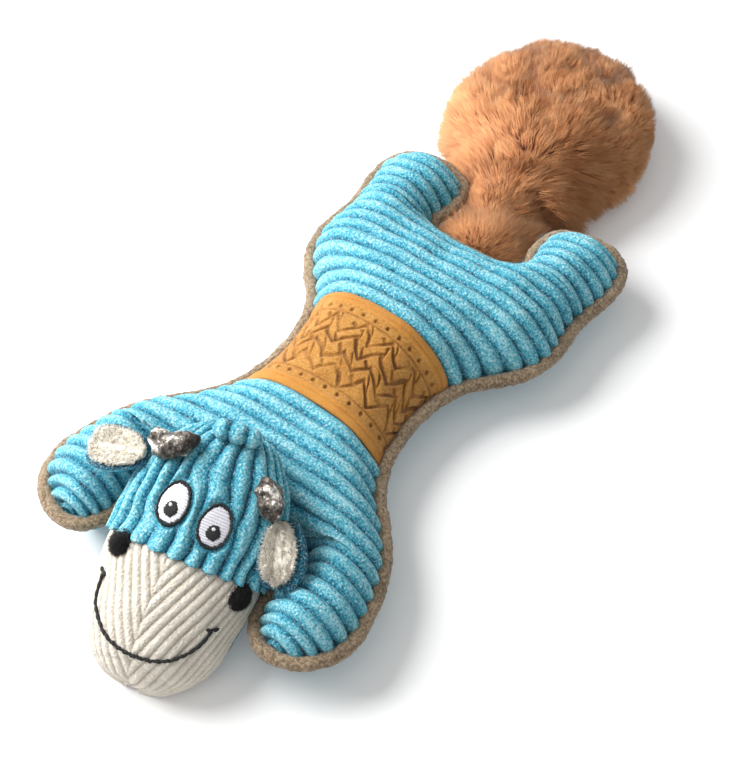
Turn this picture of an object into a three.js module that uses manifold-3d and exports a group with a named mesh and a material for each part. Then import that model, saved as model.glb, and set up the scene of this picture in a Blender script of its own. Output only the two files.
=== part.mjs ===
// Stuffed plush toy for dogs: a cow lying on its belly, with a waist band and a fur tail.
// Millimetres, +Z up, -Y towards the head. The toy's own left side is +X.
import * as THREE from "three";
import { mergeVertices } from "three/addons/utils/BufferGeometryUtils.js";
import Module from "manifold-3d";

const wasm = await Module();
wasm.setup();

// Cloth and clearances
const skinThickness = 2;
const clearance = 0.3;
const overrun = 1;

// Body outline, as the centre line of the piping in the seam plane
const bodyLength = 252;
const bodyHalfWidth = 75;
const seamHeight = 22;
const pipingRadius = 3;
const bodyRise = 31;
const pawDrop = 31;
const floorCut = 0.5;
const edgeRound = 30;

// Panels, as shares of the body length from its zero line over the hips
const bandFrontShare = -0.3;
const bandRearShare = -0.1;
const frontSeamShare = -0.5;
const rearSeamShare = 0.175;
const frontPawShare = 0.727;
const hindPawShare = 0.58;
const frontCornerShare = 0.527;
const hindCornerShare = 0.333;

// Folds of the paws about the seam plane, in degrees
const frontPawFoldAngle = 25;
const hindPawLiftAngle = 25;
const hindPawDroopAngle = 12;

// Head, along a spine that starts over the neck and runs forward and down to the muzzle
const neckAside = -4;
const neckInset = 12;
const neckHeight = 44.5;
const neckRadius = 10;
const headInset = 14;
const headTop = 56.5;
const headLength = 97;
const headHalfWidth = 31.5;
const headDepth = 24;
const headFall = 44.5;
const headYawAngle = 16;
const headRollAngle = 11;

// Eyes, nostrils and mouth
const stitchThickness = 0.7;
const eyeHalfWidth = 6.6;
const eyeHalfHeight = 7.4;
const eyeRimWidth = 1.5;
const pupilHalfWidth = 2.9;
const nostrilRadius = 5.6;
const nostrilThickness = 3;
const mouthRadius = 0.8;
const mouthTick = 3;

// Ears, horns and topknot
const earLength = 28;
const earHalfWidth = 9.5;
const earThickness = 1.6;
const earRim = 1.4;
const earCup = 3;
const hornRadius = 4.5;
const topknotRadius = 3.4;

// Tail
const tabHalfWidth = 6;
const tabReach = 10;
const tabThickness = 2.4;
const tailLength = 147;
const tailHalfWidth = 52;
const tailSeamHeight = 15;
const tailRise = 29;
const tailLeanAngle = 10.5;
const furThickness = 7;

// Squeaker
const squeakerRadius = 16;
const squeakerHeight = 19;
const squeakerWall = 1.2;
const reedRadius = 4.5;
const reedFlange = 1.2;
const squeakerPlaceShare = -0.36;

// Fabrics
const blueCorduroy = { color: 0x6cc6e0, roughness: 0.95, metalness: 0 };
const whiteCorduroy = { color: 0xe9e4db, roughness: 0.95, metalness: 0 };
const ochreSuede = { color: 0xc98a35, roughness: 0.8, metalness: 0 };
const taupeFleece = { color: 0x9c8468, roughness: 1, metalness: 0 };
const caramelFur = { color: 0xb87b4f, roughness: 1, metalness: 0 };
const silverLame = { color: 0x8d8f8c, roughness: 0.45, metalness: 0.3 };
const blackThread = { color: 0x151415, roughness: 0.7, metalness: 0 };
const whiteThread = { color: 0xf3f1ec, roughness: 0.6, metalness: 0 };
const polyesterFibre = { color: 0xf4f4f2, roughness: 1, metalness: 0 };
const clearVinyl = { color: 0xd9dde0, roughness: 0.35, metalness: 0 };

const toy = new THREE.Group();

// Adds a named mesh with its own material to a group.
function addPiece(parent, name, geometry, look) {
  const mesh = new THREE.Mesh(geometry, new THREE.MeshStandardMaterial(look));
  mesh.name = name;
  parent.add(mesh);
  return mesh;
}

// Geometry from a list of triangles, each of three points.
function solidFrom(triangles) {
  const places = [];
  for (const triangle of triangles) {
    for (const point of triangle) places.push(point.x, point.y, point.z);
  }
  const loose = new THREE.BufferGeometry();
  loose.setAttribute("position", new THREE.Float32BufferAttribute(places, 3));
  return weld(loose);
}

// Joins equal corners, drops triangles that have no area, and turns the faces out.
function weld(geometry) {
  const bare = geometry.clone();
  bare.deleteAttribute("normal");
  bare.deleteAttribute("uv");
  const welded = mergeVertices(bare, clearance / 100);
  const kept = [];
  const corners = welded.index.array;
  for (let i = 0; i < corners.length; i += 3) {
    const [a, b, c] = corners.slice(i, i + 3);
    if (a !== b && b !== c && c !== a) kept.push(a, b, c);
  }
  welded.setIndex(kept);
  if (signedVolume(welded) < 0) welded.setIndex(kept.reverse());
  return welded;
}

// Six times the volume inside an indexed geometry, negative where its faces point inwards.
function signedVolume(geometry) {
  const at = geometry.attributes.position;
  const corners = geometry.index.array;
  const [a, b, c] = [new THREE.Vector3(), new THREE.Vector3(), new THREE.Vector3()];
  let sum = 0;
  for (let i = 0; i < corners.length; i += 3) {
    a.fromBufferAttribute(at, corners[i]);
    b.fromBufferAttribute(at, corners[i + 1]);
    c.fromBufferAttribute(at, corners[i + 2]);
    sum += a.dot(b.cross(c));
  }
  return sum;
}

// The two triangles of a four-sided face.
function quad(a, b, c, d) {
  return [[a, b, c], [a, c, d]];
}

// Triangles over a grid of points, given as rows of equal length.
function gridFaces(rows) {
  const faces = [];
  for (let i = 0; i + 1 < rows.length; i++) {
    for (let j = 0; j + 1 < rows[i].length; j++) {
      faces.push(...quad(rows[i][j], rows[i + 1][j], rows[i + 1][j + 1], rows[i][j + 1]));
    }
  }
  return faces;
}

// Closed solid between two grids with the same rows and columns.
// A wrapped grid goes full circle, so it has no walls along its first and last columns.
function slab(outer, inner, wrapped = false) {
  const flipped = gridFaces(inner).map(([a, b, c]) => [a, c, b]);
  const faces = [...gridFaces(outer), ...flipped];
  const last = outer.length - 1;
  const end = outer[0].length - 1;
  for (let j = 0; j < end; j++) {
    faces.push(...quad(outer[0][j + 1], inner[0][j + 1], inner[0][j], outer[0][j]));
    faces.push(...quad(outer[last][j], inner[last][j], inner[last][j + 1], outer[last][j + 1]));
  }
  for (let i = 0; i < last && !wrapped; i++) {
    faces.push(...quad(outer[i][0], inner[i][0], inner[i + 1][0], outer[i + 1][0]));
    faces.push(...quad(outer[i + 1][end], inner[i + 1][end], inner[i][end], outer[i][end]));
  }
  return solidFrom(faces);
}

// Even shares from 0 to 1.
function steps(count) {
  return Array.from({ length: count + 1 }, (unused, i) => i / count);
}

// Smooth curve through the rows of a table, whose first column is the place.
function smoothTable(table) {
  const width = table[0].length - 1;
  const places = new Float32Array(table.map((row) => row[0]));
  const values = new Float32Array(table.flatMap((row) => row.slice(1)));
  const result = new Float32Array(width);
  const curve = new THREE.CubicInterpolant(places, values, width, result);
  return (place) => Array.from(curve.evaluate(place));
}

// A welded geometry as a solid for booleans, and back.
function toSolid(geometry) {
  const vertProperties = geometry.attributes.position.array;
  const triVerts = new Uint32Array(geometry.index.array);
  return new wasm.Manifold(new wasm.Mesh({ numProp: 3, vertProperties, triVerts }));
}

function fromSolid(solid) {
  const mesh = solid.getMesh();
  const geometry = new THREE.BufferGeometry();
  geometry.setAttribute("position", new THREE.BufferAttribute(mesh.vertProperties, 3));
  geometry.setIndex(new THREE.BufferAttribute(mesh.triVerts, 1));
  return geometry;
}

function cutBy(geometry, tool) {
  return fromSolid(toSolid(geometry).subtract(toSolid(weld(tool))));
}

function joined(geometries) {
  const solids = geometries.map((geometry) => toSolid(weld(geometry)));
  return fromSolid(solids.reduce((whole, solid) => whole.add(solid)));
}

// Half of the body outline from the middle of the chest seam round to the middle of the rump seam.
// Each row holds the shares of the half width and of the body length.
const bodyOutlineShares = [
  [0, -0.5], [0.24, -0.5], [0.42, -0.5], [0.515, -0.512],
  [0.527, -0.548], [0.5, -0.583], [0.5, -0.615], [0.535, -0.645],
  [0.61, -0.668], [0.71, -0.675], [0.84, -0.663], [0.933, -0.639],
  [0.987, -0.607], [1, -0.571], [0.973, -0.532], [0.92, -0.48],
  [0.84, -0.433], [0.72, -0.389], [0.587, -0.345], [0.493, -0.29],
  [0.453, -0.23], [0.453, -0.167], [0.493, -0.111], [0.56, -0.071],
  [0.68, -0.032], [0.773, 0.008], [0.82, 0.06], [0.81, 0.111],
  [0.805, 0.159], [0.835, 0.214], [0.84, 0.258], [0.8, 0.294],
  [0.707, 0.317], [0.587, 0.325], [0.453, 0.317], [0.347, 0.302],
  [0.307, 0.27], [0.307, 0.238], [0.333, 0.202], [0.28, 0.179],
  [0.18, 0.175], [0, 0.175],
];
const outlineSamples = 260;
const halvings = 16;

function bodyPlace([widthShare, lengthShare]) {
  return new THREE.Vector3(widthShare * bodyHalfWidth, lengthShare * bodyLength, seamHeight);
}

function mirrored(point) {
  return new THREE.Vector3(-point.x, point.y, point.z);
}

const halfOutline = new THREE.CatmullRomCurve3(bodyOutlineShares.map(bodyPlace));
const outlinePoints = halfOutline.getSpacedPoints(outlineSamples);
const outlineStep = halfOutline.getLength() / outlineSamples;
const wholeOutline = [...outlinePoints, ...outlinePoints.map(mirrored)];
const chestSeam = frontSeamShare * bodyLength;
const neckForward = chestSeam + neckInset;
const headStart = chestSeam + headInset;

// Rows of the torso: the skins end a little inside the piping.
const seamInset = pipingRadius + 2 * clearance;
const frontRoot = chestSeam + seamInset;
const hindRoot = rearSeamShare * bodyLength - seamInset;

// Soft distance from the skin's edge to a place inside the outline.
function seamDepth(x, y) {
  let pull = 0;
  for (const point of wholeOutline) {
    const gap = Math.hypot(point.x - x, point.y - y, outlineStep / 4);
    pull += outlineStep / gap ** 3;
  }
  return Math.sqrt(2 / pull) - seamInset;
}

// Rise of the pillow over the seam and its drop under it, as shares along the body length.
const riseShares = smoothTable([
  [-0.7, 0.76], [-0.58, 0.78], [-0.5, 0.8], [-0.4, 0.76],
  [-0.3, 0.7], [-0.2, 0.86], [-0.1, 1], [0, 0.87],
  [0.1, 0.8], [0.18, 0.76], [0.26, 0.72], [0.35, 0.7],
]);
const dropShares = smoothTable([
  [-0.7, 1], [-0.56, 0.95], [-0.48, 0.35], [-0.4, 0],
  [-0.1, 0], [0.1, 0.05], [0.18, 0.5], [0.26, 1], [0.35, 1],
]);

function pillowRise(y) {
  return riseShares(y / bodyLength)[0] * bodyRise;
}

function pillowDrop(y) {
  const flatDrop = seamHeight + floorCut;
  const share = Math.max(0, dropShares(y / bodyLength)[0]);
  return THREE.MathUtils.lerp(flatDrop, pawDrop, share);
}

// Point of the upper or lower pillow surface, drawn in by an inset.
function pillowPoint(x, y, side, inset, seamGap) {
  const depth = Math.min(Math.max(seamDepth(x, y) - inset, 0) / edgeRound, 1);
  const bulge = Math.sqrt(1 - (1 - depth) ** 2);
  const reach = side > 0 ? pillowRise(y) : pillowDrop(y);
  const z = seamHeight + side * (seamGap + (reach - inset) * bulge);
  return new THREE.Vector3(x, y, Math.max(z, inset));
}

// Walks from a place inside the outline until the depth falls to the inset.
function edgeFrom(x, y, stepX, stepY, inset) {
  let near = 0;
  let far = 1;
  const depthAt = (share) => seamDepth(x + stepX * share, y + stepY * share) - inset;
  while (depthAt(far) > 0) far += 1;
  near = far - 1;
  for (let i = 0; i < halvings; i++) {
    const middle = (near + far) / 2;
    if (depthAt(middle) > 0) near = middle;
    else far = middle;
  }
  return [x + stepX * near, y + stepY * near];
}

const marchStep = pipingRadius / 2;

// Columns bunch up towards the rounded edges.
function columnShare(share) {
  return (1 - Math.cos(Math.PI * share)) / 2;
}

// Grid over the torso at the given rows.
const torsoColumns = 12;

function torsoGrid(rows, side, inset, seamGap) {
  return rows.map((y) => {
    const [edge] = edgeFrom(0, y, marchStep, 0, inset);
    return steps(torsoColumns).map((share) => {
      const x = THREE.MathUtils.lerp(-edge, edge, columnShare(share));
      return pillowPoint(x, y, side, inset, seamGap);
    });
  });
}

function rowsBetween(fromY, toY, count) {
  return steps(count).map((share) => THREE.MathUtils.lerp(fromY, toY, share));
}

// Rows that bunch up towards the rounded end.
function rowsTowards(fromY, endY, count) {
  return steps(count).map((share) => {
    return THREE.MathUtils.lerp(fromY, endY, Math.sin((Math.PI / 2) * share));
  });
}

// Grid over a paw from its root to its tip. The root leans back, which leaves room for the fold.
function pawGrid(paw, side, inset, seamGap) {
  const away = Math.sign(paw.root - bodyLength * bandRearShare);
  const [, tip] = edgeFrom(paw.middle, paw.root, 0, away * marchStep, inset);
  const start = paw.root + away * clearance;
  const lean = Math.tan(THREE.MathUtils.degToRad(side > 0 ? paw.lift : paw.droop));
  return steps(paw.rows).map((share) => {
    const y = THREE.MathUtils.lerp(start, tip, Math.sin((Math.PI / 2) * share));
    const [edge] = edgeFrom(paw.middle, y, -marchStep, 0, inset);
    const inner = share > 0 ? edge : Math.max(edge, paw.corner + seamInset + inset);
    const [outer] = edgeFrom(paw.middle, y, marchStep, 0, inset);
    return steps(paw.columns).map((column) => {
      const x = THREE.MathUtils.lerp(inner, outer, columnShare(column));
      const point = pillowPoint(x, y, side, inset, seamGap);
      const back = Math.abs(point.z - seamHeight) * lean * (1 - share) ** 2;
      point.y += away * back;
      return point;
    });
  });
}

const halfGap = clearance / 2;
const fillInset = skinThickness + clearance;

function torsoSkin(rows, side) {
  return slab(torsoGrid(rows, side, 0, halfGap), torsoGrid(rows, side, skinThickness, halfGap));
}

// Squeaker in a pocket that opens towards the belly panel
const squeakerY = squeakerPlaceShare * bodyLength;
const squeakerFolds = 3;
const squeakerSides = 20;
const squeakerRim = steps(squeakerSides).map((turn) => {
  const x = squeakerRadius * Math.cos(turn * 2 * Math.PI);
  const y = squeakerY + squeakerRadius * Math.sin(turn * 2 * Math.PI);
  return pillowPoint(x, y, -1, skinThickness, halfGap).z;
});
const squeakerFloor = Math.max(...squeakerRim) + clearance;

function squeakerPocket() {
  const radius = squeakerRadius + clearance;
  const height = squeakerFloor + squeakerHeight + reedFlange + 3 * clearance + overrun;
  const pocket = new THREE.CylinderGeometry(radius, radius, height, 2 * squeakerSides);
  pocket.rotateX(Math.PI / 2);
  pocket.translate(0, squeakerY, height / 2 - overrun);
  return pocket;
}

function squeakerBulb() {
  const neck = reedRadius + clearance;
  const outer = [];
  for (const share of steps(3 * squeakerFolds)) {
    const fold = Math.cos(share * squeakerFolds * 2 * Math.PI);
    const radius = squeakerRadius - squeakerWall * (1 - fold);
    outer.push(new THREE.Vector2(radius, share * squeakerHeight));
  }
  const inner = outer.map((point) => {
    const height = THREE.MathUtils.clamp(point.y, squeakerWall, squeakerHeight - squeakerWall);
    return new THREE.Vector2(point.x - squeakerWall, height);
  });
  const profile = [
    new THREE.Vector2(0, 0),
    ...outer,
    new THREE.Vector2(neck, squeakerHeight),
    new THREE.Vector2(neck, squeakerHeight - squeakerWall),
    ...inner.reverse(),
    new THREE.Vector2(0, squeakerWall),
  ];
  return latheUp(profile);
}

function squeakerReed() {
  const inside = squeakerHeight / 3;
  const slot = reedRadius / 3;
  const profile = [
    new THREE.Vector2(slot, squeakerHeight - inside),
    new THREE.Vector2(reedRadius, squeakerHeight - inside),
    new THREE.Vector2(reedRadius, squeakerHeight + clearance),
    new THREE.Vector2(reedRadius + squeakerWall * 2, squeakerHeight + clearance),
    new THREE.Vector2(reedRadius + squeakerWall * 2, squeakerHeight + clearance + reedFlange),
    new THREE.Vector2(slot, squeakerHeight + clearance + reedFlange),
    new THREE.Vector2(slot, squeakerHeight - inside),
  ];
  return latheUp(profile);
}

// Lathe about a standing axis through the squeaker's place.
function latheUp(profile) {
  const turned = new THREE.LatheGeometry(profile, squeakerSides);
  turned.rotateX(Math.PI / 2);
  turned.translate(0, squeakerY, squeakerFloor + clearance);
  return weld(turned);
}

// Tube of even radius along a run of points.
function roundTube(points, radius, sides, stepLength) {
  const path = new THREE.CatmullRomCurve3(points);
  const ring = new THREE.Shape();
  ring.absarc(0, 0, radius, 0, 2 * Math.PI);
  const count = Math.max(1, Math.round(path.getLength() / stepLength));
  const settings = { steps: count, extrudePath: path, bevelEnabled: false };
  settings.curveSegments = sides / 2;
  return weld(new THREE.ExtrudeGeometry(ring, settings));
}

// Stuffed tube that swells between its two closed ends.
const plumpPowerShare = 2.6;

function plumpTube(points, radius, sides, rings) {
  const path = new THREE.CatmullRomCurve3(points);
  const frames = path.computeFrenetFrames(rings);
  const grid = steps(rings).map((share, i) => {
    const centre = path.getPointAt(share);
    const reach = radius * Math.sqrt(Math.max(0, 1 - Math.abs(2 * share - 1) ** plumpPowerShare));
    return steps(sides).map((turn) => {
      const angle = turn * 2 * Math.PI;
      const point = centre.clone();
      point.addScaledVector(frames.normals[i], reach * Math.cos(angle));
      point.addScaledVector(frames.binormals[i], reach * Math.sin(angle));
      return point;
    });
  });
  return solidFrom(gridFaces(grid));
}

// Head: shares of the length, of the fall, of the half width and of the depths in front and behind
const headShares = smoothTable([
  [0, 0, 0, 0, 0], [0.03, 0.01, 0.4, 0.31, 0.28], [0.06, 0.03, 0.56, 0.44, 0.4],
  [0.16, 0.12, 0.8, 0.65, 0.64], [0.295, 0.27, 0.96, 0.78, 0.84], [0.428, 0.46, 1, 0.83, 0.96],
  [0.56, 0.646, 1, 0.9, 1], [0.68, 0.78, 0.93, 0.94, 1.04], [0.79, 0.885, 0.87, 0.92, 1.02],
  [0.885, 0.948, 0.73, 0.81, 0.88], [0.95, 0.98, 0.54, 0.6, 0.66], [0.985, 0.99, 0.31, 0.36, 0.4],
  [1, 1, 0, 0, 0],
]);
const headTurn = new THREE.Matrix4().makeRotationZ(THREE.MathUtils.degToRad(headYawAngle));
headTurn.multiply(new THREE.Matrix4().makeRotationY(THREE.MathUtils.degToRad(headRollAngle)));
const slopeStepShare = 0.005;

// Point of the head at a share of its length and an angle about its spine, drawn in by an inset.
// Angle 90 is the middle of the face and angle 0 is the toy's left side.
function headPoint(along, angle, inset, shift = 0) {
  const margin = inset / headLength;
  const place = THREE.MathUtils.lerp(margin, 1 - margin, along);
  const [fall] = headShares(THREE.MathUtils.clamp(place, 0, 1));
  const before = headShares(THREE.MathUtils.clamp(place - slopeStepShare, 0, 1))[0];
  const after = headShares(THREE.MathUtils.clamp(place + slopeStepShare, 0, 1))[0];
  const [, width, front, behind] = headShares(along).map((share) => Math.max(share, 0));
  const slope = ((after - before) / slopeStepShare / 2) * headFall;
  const run = new THREE.Vector3(0, -headLength, -slope).normalize();
  const facing = new THREE.Vector3(0, run.z, -run.y);
  const turn = THREE.MathUtils.degToRad(angle);
  const depth = (Math.sin(turn) > 0 ? front : behind) * (headDepth - inset);
  const point = new THREE.Vector3(0, -place * headLength, -fall * headFall);
  point.x += width * (headHalfWidth - inset) * Math.cos(turn);
  point.addScaledVector(facing, depth * Math.sin(turn) + shift);
  point.applyMatrix4(headTurn);
  point.add(new THREE.Vector3(neckAside, headStart, headTop));
  point.z = Math.max(point.z, Math.max(inset, 0));
  return point;
}

// Angles across the face cloths and across the cloth behind, which meet below the sides of the face
// and further round under the chin.
const halfTurnAngle = 180;
const fullTurnAngle = 360;
const sideWrapAngle = 10;
const chinWrapAngle = 70;
const chinStartShare = 0.72;
const headColumns = { face: 10, nape: 8 };
const seamGapAngle = THREE.MathUtils.radToDeg(clearance / headDepth);

function wrapAngle(along) {
  return sideWrapAngle + chinWrapAngle * THREE.MathUtils.smoothstep(along, chinStartShare, 1);
}

function faceAngles(along) {
  const high = halfTurnAngle + wrapAngle(along) - seamGapAngle;
  return steps(headColumns.face).map((share) => THREE.MathUtils.lerp(halfTurnAngle - high, high, share));
}

function napeAngles(along) {
  const low = halfTurnAngle + wrapAngle(along) + seamGapAngle;
  const high = fullTurnAngle + halfTurnAngle - low;
  return steps(headColumns.nape).map((share) => THREE.MathUtils.lerp(low, high, share));
}

function headAngles(along) {
  const round = [...faceAngles(along), ...napeAngles(along)];
  return [...round, round[0] + fullTurnAngle];
}

// Grid over the head at the given shares of its length.
function headGrid(rows, anglesAt, inset, shift) {
  return rows.map((along) => anglesAt(along).map((angle) => headPoint(along, angle, inset, shift)));
}

// Shares of the head's length that bunch up at its round ends.
function roundedShares(from, to, count) {
  const start = Math.acos(1 - 2 * from) / Math.PI;
  const finish = Math.acos(1 - 2 * to) / Math.PI;
  return steps(count).map((share) => columnShare(THREE.MathUtils.lerp(start, finish, share)));
}

const muzzleSeamShare = 0.49;
const headRowCounts = { crown: 7, muzzle: 8 };
const seamGapShare = halfGap / headLength;
const crownRows = roundedShares(0, muzzleSeamShare - seamGapShare, headRowCounts.crown);
const muzzleRows = roundedShares(muzzleSeamShare + seamGapShare, 1, headRowCounts.muzzle);
const headRows = [...crownRows, ...muzzleRows];

function headPanel(rows, anglesAt, shift) {
  const outer = headGrid(rows, anglesAt, 0, shift);
  return slab(outer, headGrid(rows, anglesAt, skinThickness, shift));
}

function headStuffing() {
  return solidFrom(gridFaces(headGrid(headRows, headAngles, fillInset, 0)));
}

// Patch on the head from its middle to its rim, in shares of its two half sizes.
const faceLength = Math.hypot(headLength, headFall);
const eyeSides = 18;
const nostrilSides = 14;
const nostrilRings = 3;

function patchGrid(place, halfWidth, halfHeight, fromShare, toShare, rings, sides, lift) {
  return steps(rings).map((ring) => {
    const reach = THREE.MathUtils.lerp(fromShare, toShare, ring);
    return steps(sides).map((turn) => {
      const aside = Math.cos(turn * 2 * Math.PI) * reach * halfWidth;
      const up = Math.sin(turn * 2 * Math.PI) * reach * halfHeight;
      const angle = place.angle + THREE.MathUtils.radToDeg(aside / headHalfWidth);
      return headPoint(place.along - up / faceLength, angle, -lift(reach));
    });
  });
}

function stitchedRing(place, halfWidth, halfHeight, fromShare, toShare) {
  const range = [place, halfWidth, halfHeight, fromShare, toShare, 1, eyeSides];
  const upper = patchGrid(...range, () => clearance + stitchThickness);
  return slab(upper, patchGrid(...range, () => clearance), true);
}

function nostrilPad(place) {
  const range = [place, nostrilRadius, nostrilRadius, 0, 1, nostrilRings, nostrilSides];
  const dome = (reach) => clearance + stitchThickness + nostrilThickness * (1 - reach ** 2);
  return slab(patchGrid(...range, dome), patchGrid(...range, () => clearance), true);
}

// Mouth line: each row holds an angle from the middle of the face and a share of the length.
const mouthMiddleAngle = 98;
const mouthSides = 6;
const mouthShares = [
  [-54, 0.69], [-52.5, 0.735], [-47, 0.815], [-39.5, 0.87], [-25, 0.91], [-10, 0.922],
  [3.5, 0.923], [21.5, 0.905], [34, 0.87], [45, 0.8], [51.5, 0.72], [51, 0.65],
];

function mouthStitch() {
  const lift = -mouthRadius - clearance;
  const line = mouthShares.map(([aside, along]) => headPoint(along, mouthMiddleAngle + aside, lift));
  const pieces = [roundTube(line, mouthRadius, mouthSides, 4 * mouthRadius)];
  for (const [aside, along] of [mouthShares[0], mouthShares[mouthShares.length - 1]]) {
    const ends = [-1, 1].map((side) => {
      const turn = THREE.MathUtils.radToDeg((side * mouthTick) / headHalfWidth);
      return headPoint(along + mouthRadius / headLength, mouthMiddleAngle + aside + turn, lift);
    });
    pieces.push(roundTube(ends, mouthRadius, mouthSides, mouthTick));
  }
  return joined(pieces);
}

// Ear: a cupped leaf of two cloths in its own frame, with the length along Y and the lining on +Z.
const earShares = smoothTable([
  [0, 0.5], [0.2, 0.78], [0.45, 0.98], [0.65, 1], [0.82, 0.84], [0.93, 0.55], [1, 0],
]);
const earRows = 6;
const earColumns = 6;

function earGrid(inset, height) {
  return steps(earRows).map((rowShare) => {
    const share = Math.sin((rowShare * Math.PI) / 2);
    const reach = share * (earLength - inset);
    const half = Math.max(earShares(share)[0], 0) * (earHalfWidth - inset);
    return steps(earColumns).map((column) => {
      const across = 2 * column - 1;
      const cup = earCup * across ** 2 * (half / earHalfWidth);
      return new THREE.Vector3(across * half, reach, height + cup);
    });
  });
}

function earBack() {
  return slab(earGrid(0, earThickness), earGrid(0, 0));
}

function earLining() {
  const seat = earThickness + clearance;
  return slab(earGrid(earRim, seat + earThickness), earGrid(earRim, seat));
}

// Tail: shares of the length, of the half width, of the rise and of the drop
const tailShares = smoothTable([
  [0.11, 0, 0, 0], [0.12, 0.12, 0.15, 0.25], [0.15, 0.23, 0.3, 0.5], [0.2, 0.27, 0.45, 0.8],
  [0.26, 0.31, 0.6, 1], [0.3, 0.36, 0.7, 1], [0.34, 0.49, 0.79, 1], [0.37, 0.61, 0.84, 1],
  [0.42, 0.775, 0.9, 1], [0.5, 0.94, 0.96, 1], [0.6, 1, 1, 1], [0.73, 0.965, 0.98, 1],
  [0.83, 0.84, 0.9, 1], [0.92, 0.6, 0.7, 0.9], [0.975, 0.33, 0.42, 0.6], [1, 0, 0, 0],
]);
const tailRootShare = 0.11;
const tailStart = tabReach + tabHalfWidth + clearance;
const tailRows = 15;
const tailColumns = 10;
const tabSides = 10;

function tailPoint(share, angle, inset, side) {
  const place = THREE.MathUtils.lerp(tailRootShare, 1, columnShare(share));
  const along = THREE.MathUtils.lerp(tailStart + inset, tailLength - inset, columnShare(share));
  const [width, up, down] = tailShares(place).map((value) => Math.max(value, 0));
  const turn = THREE.MathUtils.degToRad(angle);
  const shrink = 1 - inset / tailHalfWidth;
  const drop = tailSeamHeight + floorCut;
  const reach = side > 0 ? up * (tailRise - inset) : down * (drop - inset);
  const x = width * shrink * tailHalfWidth * Math.cos(turn);
  const z = tailSeamHeight + side * (halfGap + reach * Math.sin(turn));
  return new THREE.Vector3(x, along, Math.max(z, inset));
}

function tailGrid(side, inset) {
  return steps(tailRows).map((share) => {
    return steps(tailColumns).map((column) => tailPoint(share, halfTurnAngle * column, inset, side));
  });
}

function tailPelt(side) {
  return slab(tailGrid(side, 0), tailGrid(side, furThickness));
}

function tailStuffing() {
  const inset = furThickness + clearance;
  return slab(tailGrid(1, inset), tailGrid(-1, inset));
}

function tailTab() {
  const shape = new THREE.Shape();
  shape.absarc(0, 0, tabHalfWidth, Math.PI, 2 * Math.PI);
  shape.absarc(0, tabReach, tabHalfWidth, 0, Math.PI);
  shape.closePath();
  const settings = { depth: tabThickness, curveSegments: tabSides, bevelEnabled: false };
  const tab = new THREE.ExtrudeGeometry(shape, settings);
  tab.translate(0, 0, tailSeamHeight - tabThickness / 2);
  return weld(tab);
}

// Torso
const torso = new THREE.Group();
toy.add(torso);
const bandFront = bandFrontShare * bodyLength;
const bandRear = bandRearShare * bodyLength;
const rowCounts = { chest: 8, band: 5, hip: 9 };
const chestRows = rowsTowards(bandFront - halfGap, frontRoot, rowCounts.chest).reverse();
const bandRows = rowsBetween(bandFront + halfGap, bandRear - halfGap, rowCounts.band);
const hipRows = rowsTowards(bandRear + halfGap, hindRoot, rowCounts.hip);
const torsoRows = [...chestRows, ...bandRows, ...hipRows];
addPiece(torso, "chest_panel", torsoSkin(chestRows, 1), blueCorduroy);
addPiece(torso, "waist_band", torsoSkin(bandRows, 1), ochreSuede);
addPiece(torso, "hip_panel", torsoSkin(hipRows, 1), blueCorduroy);
addPiece(torso, "belly_panel", torsoSkin(torsoRows, -1), blueCorduroy);

function torsoStuffing() {
  const upper = torsoGrid(torsoRows, 1, fillInset, 0);
  return cutBy(slab(upper, torsoGrid(torsoRows, -1, fillInset, 0)), squeakerPocket());
}
addPiece(torso, "body_stuffing", torsoStuffing(), polyesterFibre);
addPiece(torso, "squeaker_bulb", squeakerBulb(), clearVinyl);
addPiece(torso, "squeaker_reed", squeakerReed(), blackThread);

// Paws
const pawKinds = {
  front: {
    root: frontRoot, middle: frontPawShare * bodyHalfWidth, corner: frontCornerShare * bodyHalfWidth,
    lift: 0, droop: frontPawFoldAngle, rows: 8, columns: 8,
  },
  hind: {
    root: hindRoot, middle: hindPawShare * bodyHalfWidth, corner: hindCornerShare * bodyHalfWidth,
    lift: hindPawLiftAngle, droop: hindPawDroopAngle, rows: 8, columns: 8,
  },
};

function pawPieces(kind) {
  const paw = pawKinds[kind];
  const upper = slab(pawGrid(paw, 1, 0, halfGap), pawGrid(paw, 1, skinThickness, halfGap));
  const under = slab(pawGrid(paw, -1, 0, halfGap), pawGrid(paw, -1, skinThickness, halfGap));
  const stuffing = slab(pawGrid(paw, 1, fillInset, 0), pawGrid(paw, -1, fillInset, 0));
  return { upper, under, stuffing };
}

function mirroredGeometry(geometry) {
  const turned = geometry.clone();
  turned.scale(-1, 1, 1);
  return weld(turned);
}

// Piping, split where the paws fold
const pipingSides = 8;
const pipingStep = 2 * pipingRadius;
const foldGap = pipingRadius;
const chestCornerShare = 0.44;
const rumpCornerShare = 0.26;
const pawTipShare = -0.65;
const pipingEvery = 3;

function outlineIndex(test, from) {
  return outlinePoints.findIndex((point, i) => i >= from && test(point));
}

const pawTip = outlineIndex((point) => point.y < pawTipShare * bodyLength, 0);
const chestCorner = outlineIndex((point) => point.x > chestCornerShare * bodyHalfWidth, 0);
const frontOuter = outlineIndex((point) => point.y > frontRoot, pawTip);
const hindOuter = outlineIndex((point) => point.y > hindRoot, frontOuter);
const rumpCorner = outlineIndex((point) => point.x < rumpCornerShare * bodyHalfWidth, hindOuter);
const foldSkip = Math.ceil(foldGap / outlineStep);

function pipingAlong(points) {
  const last = points.length - 1;
  const chosen = points.filter((point, i) => i % pipingEvery === 0 || i === last);
  return roundTube(chosen, pipingRadius, pipingSides, pipingStep);
}

function pipingBetween(from, to) {
  return pipingAlong(outlinePoints.slice(from, to + 1));
}

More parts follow.
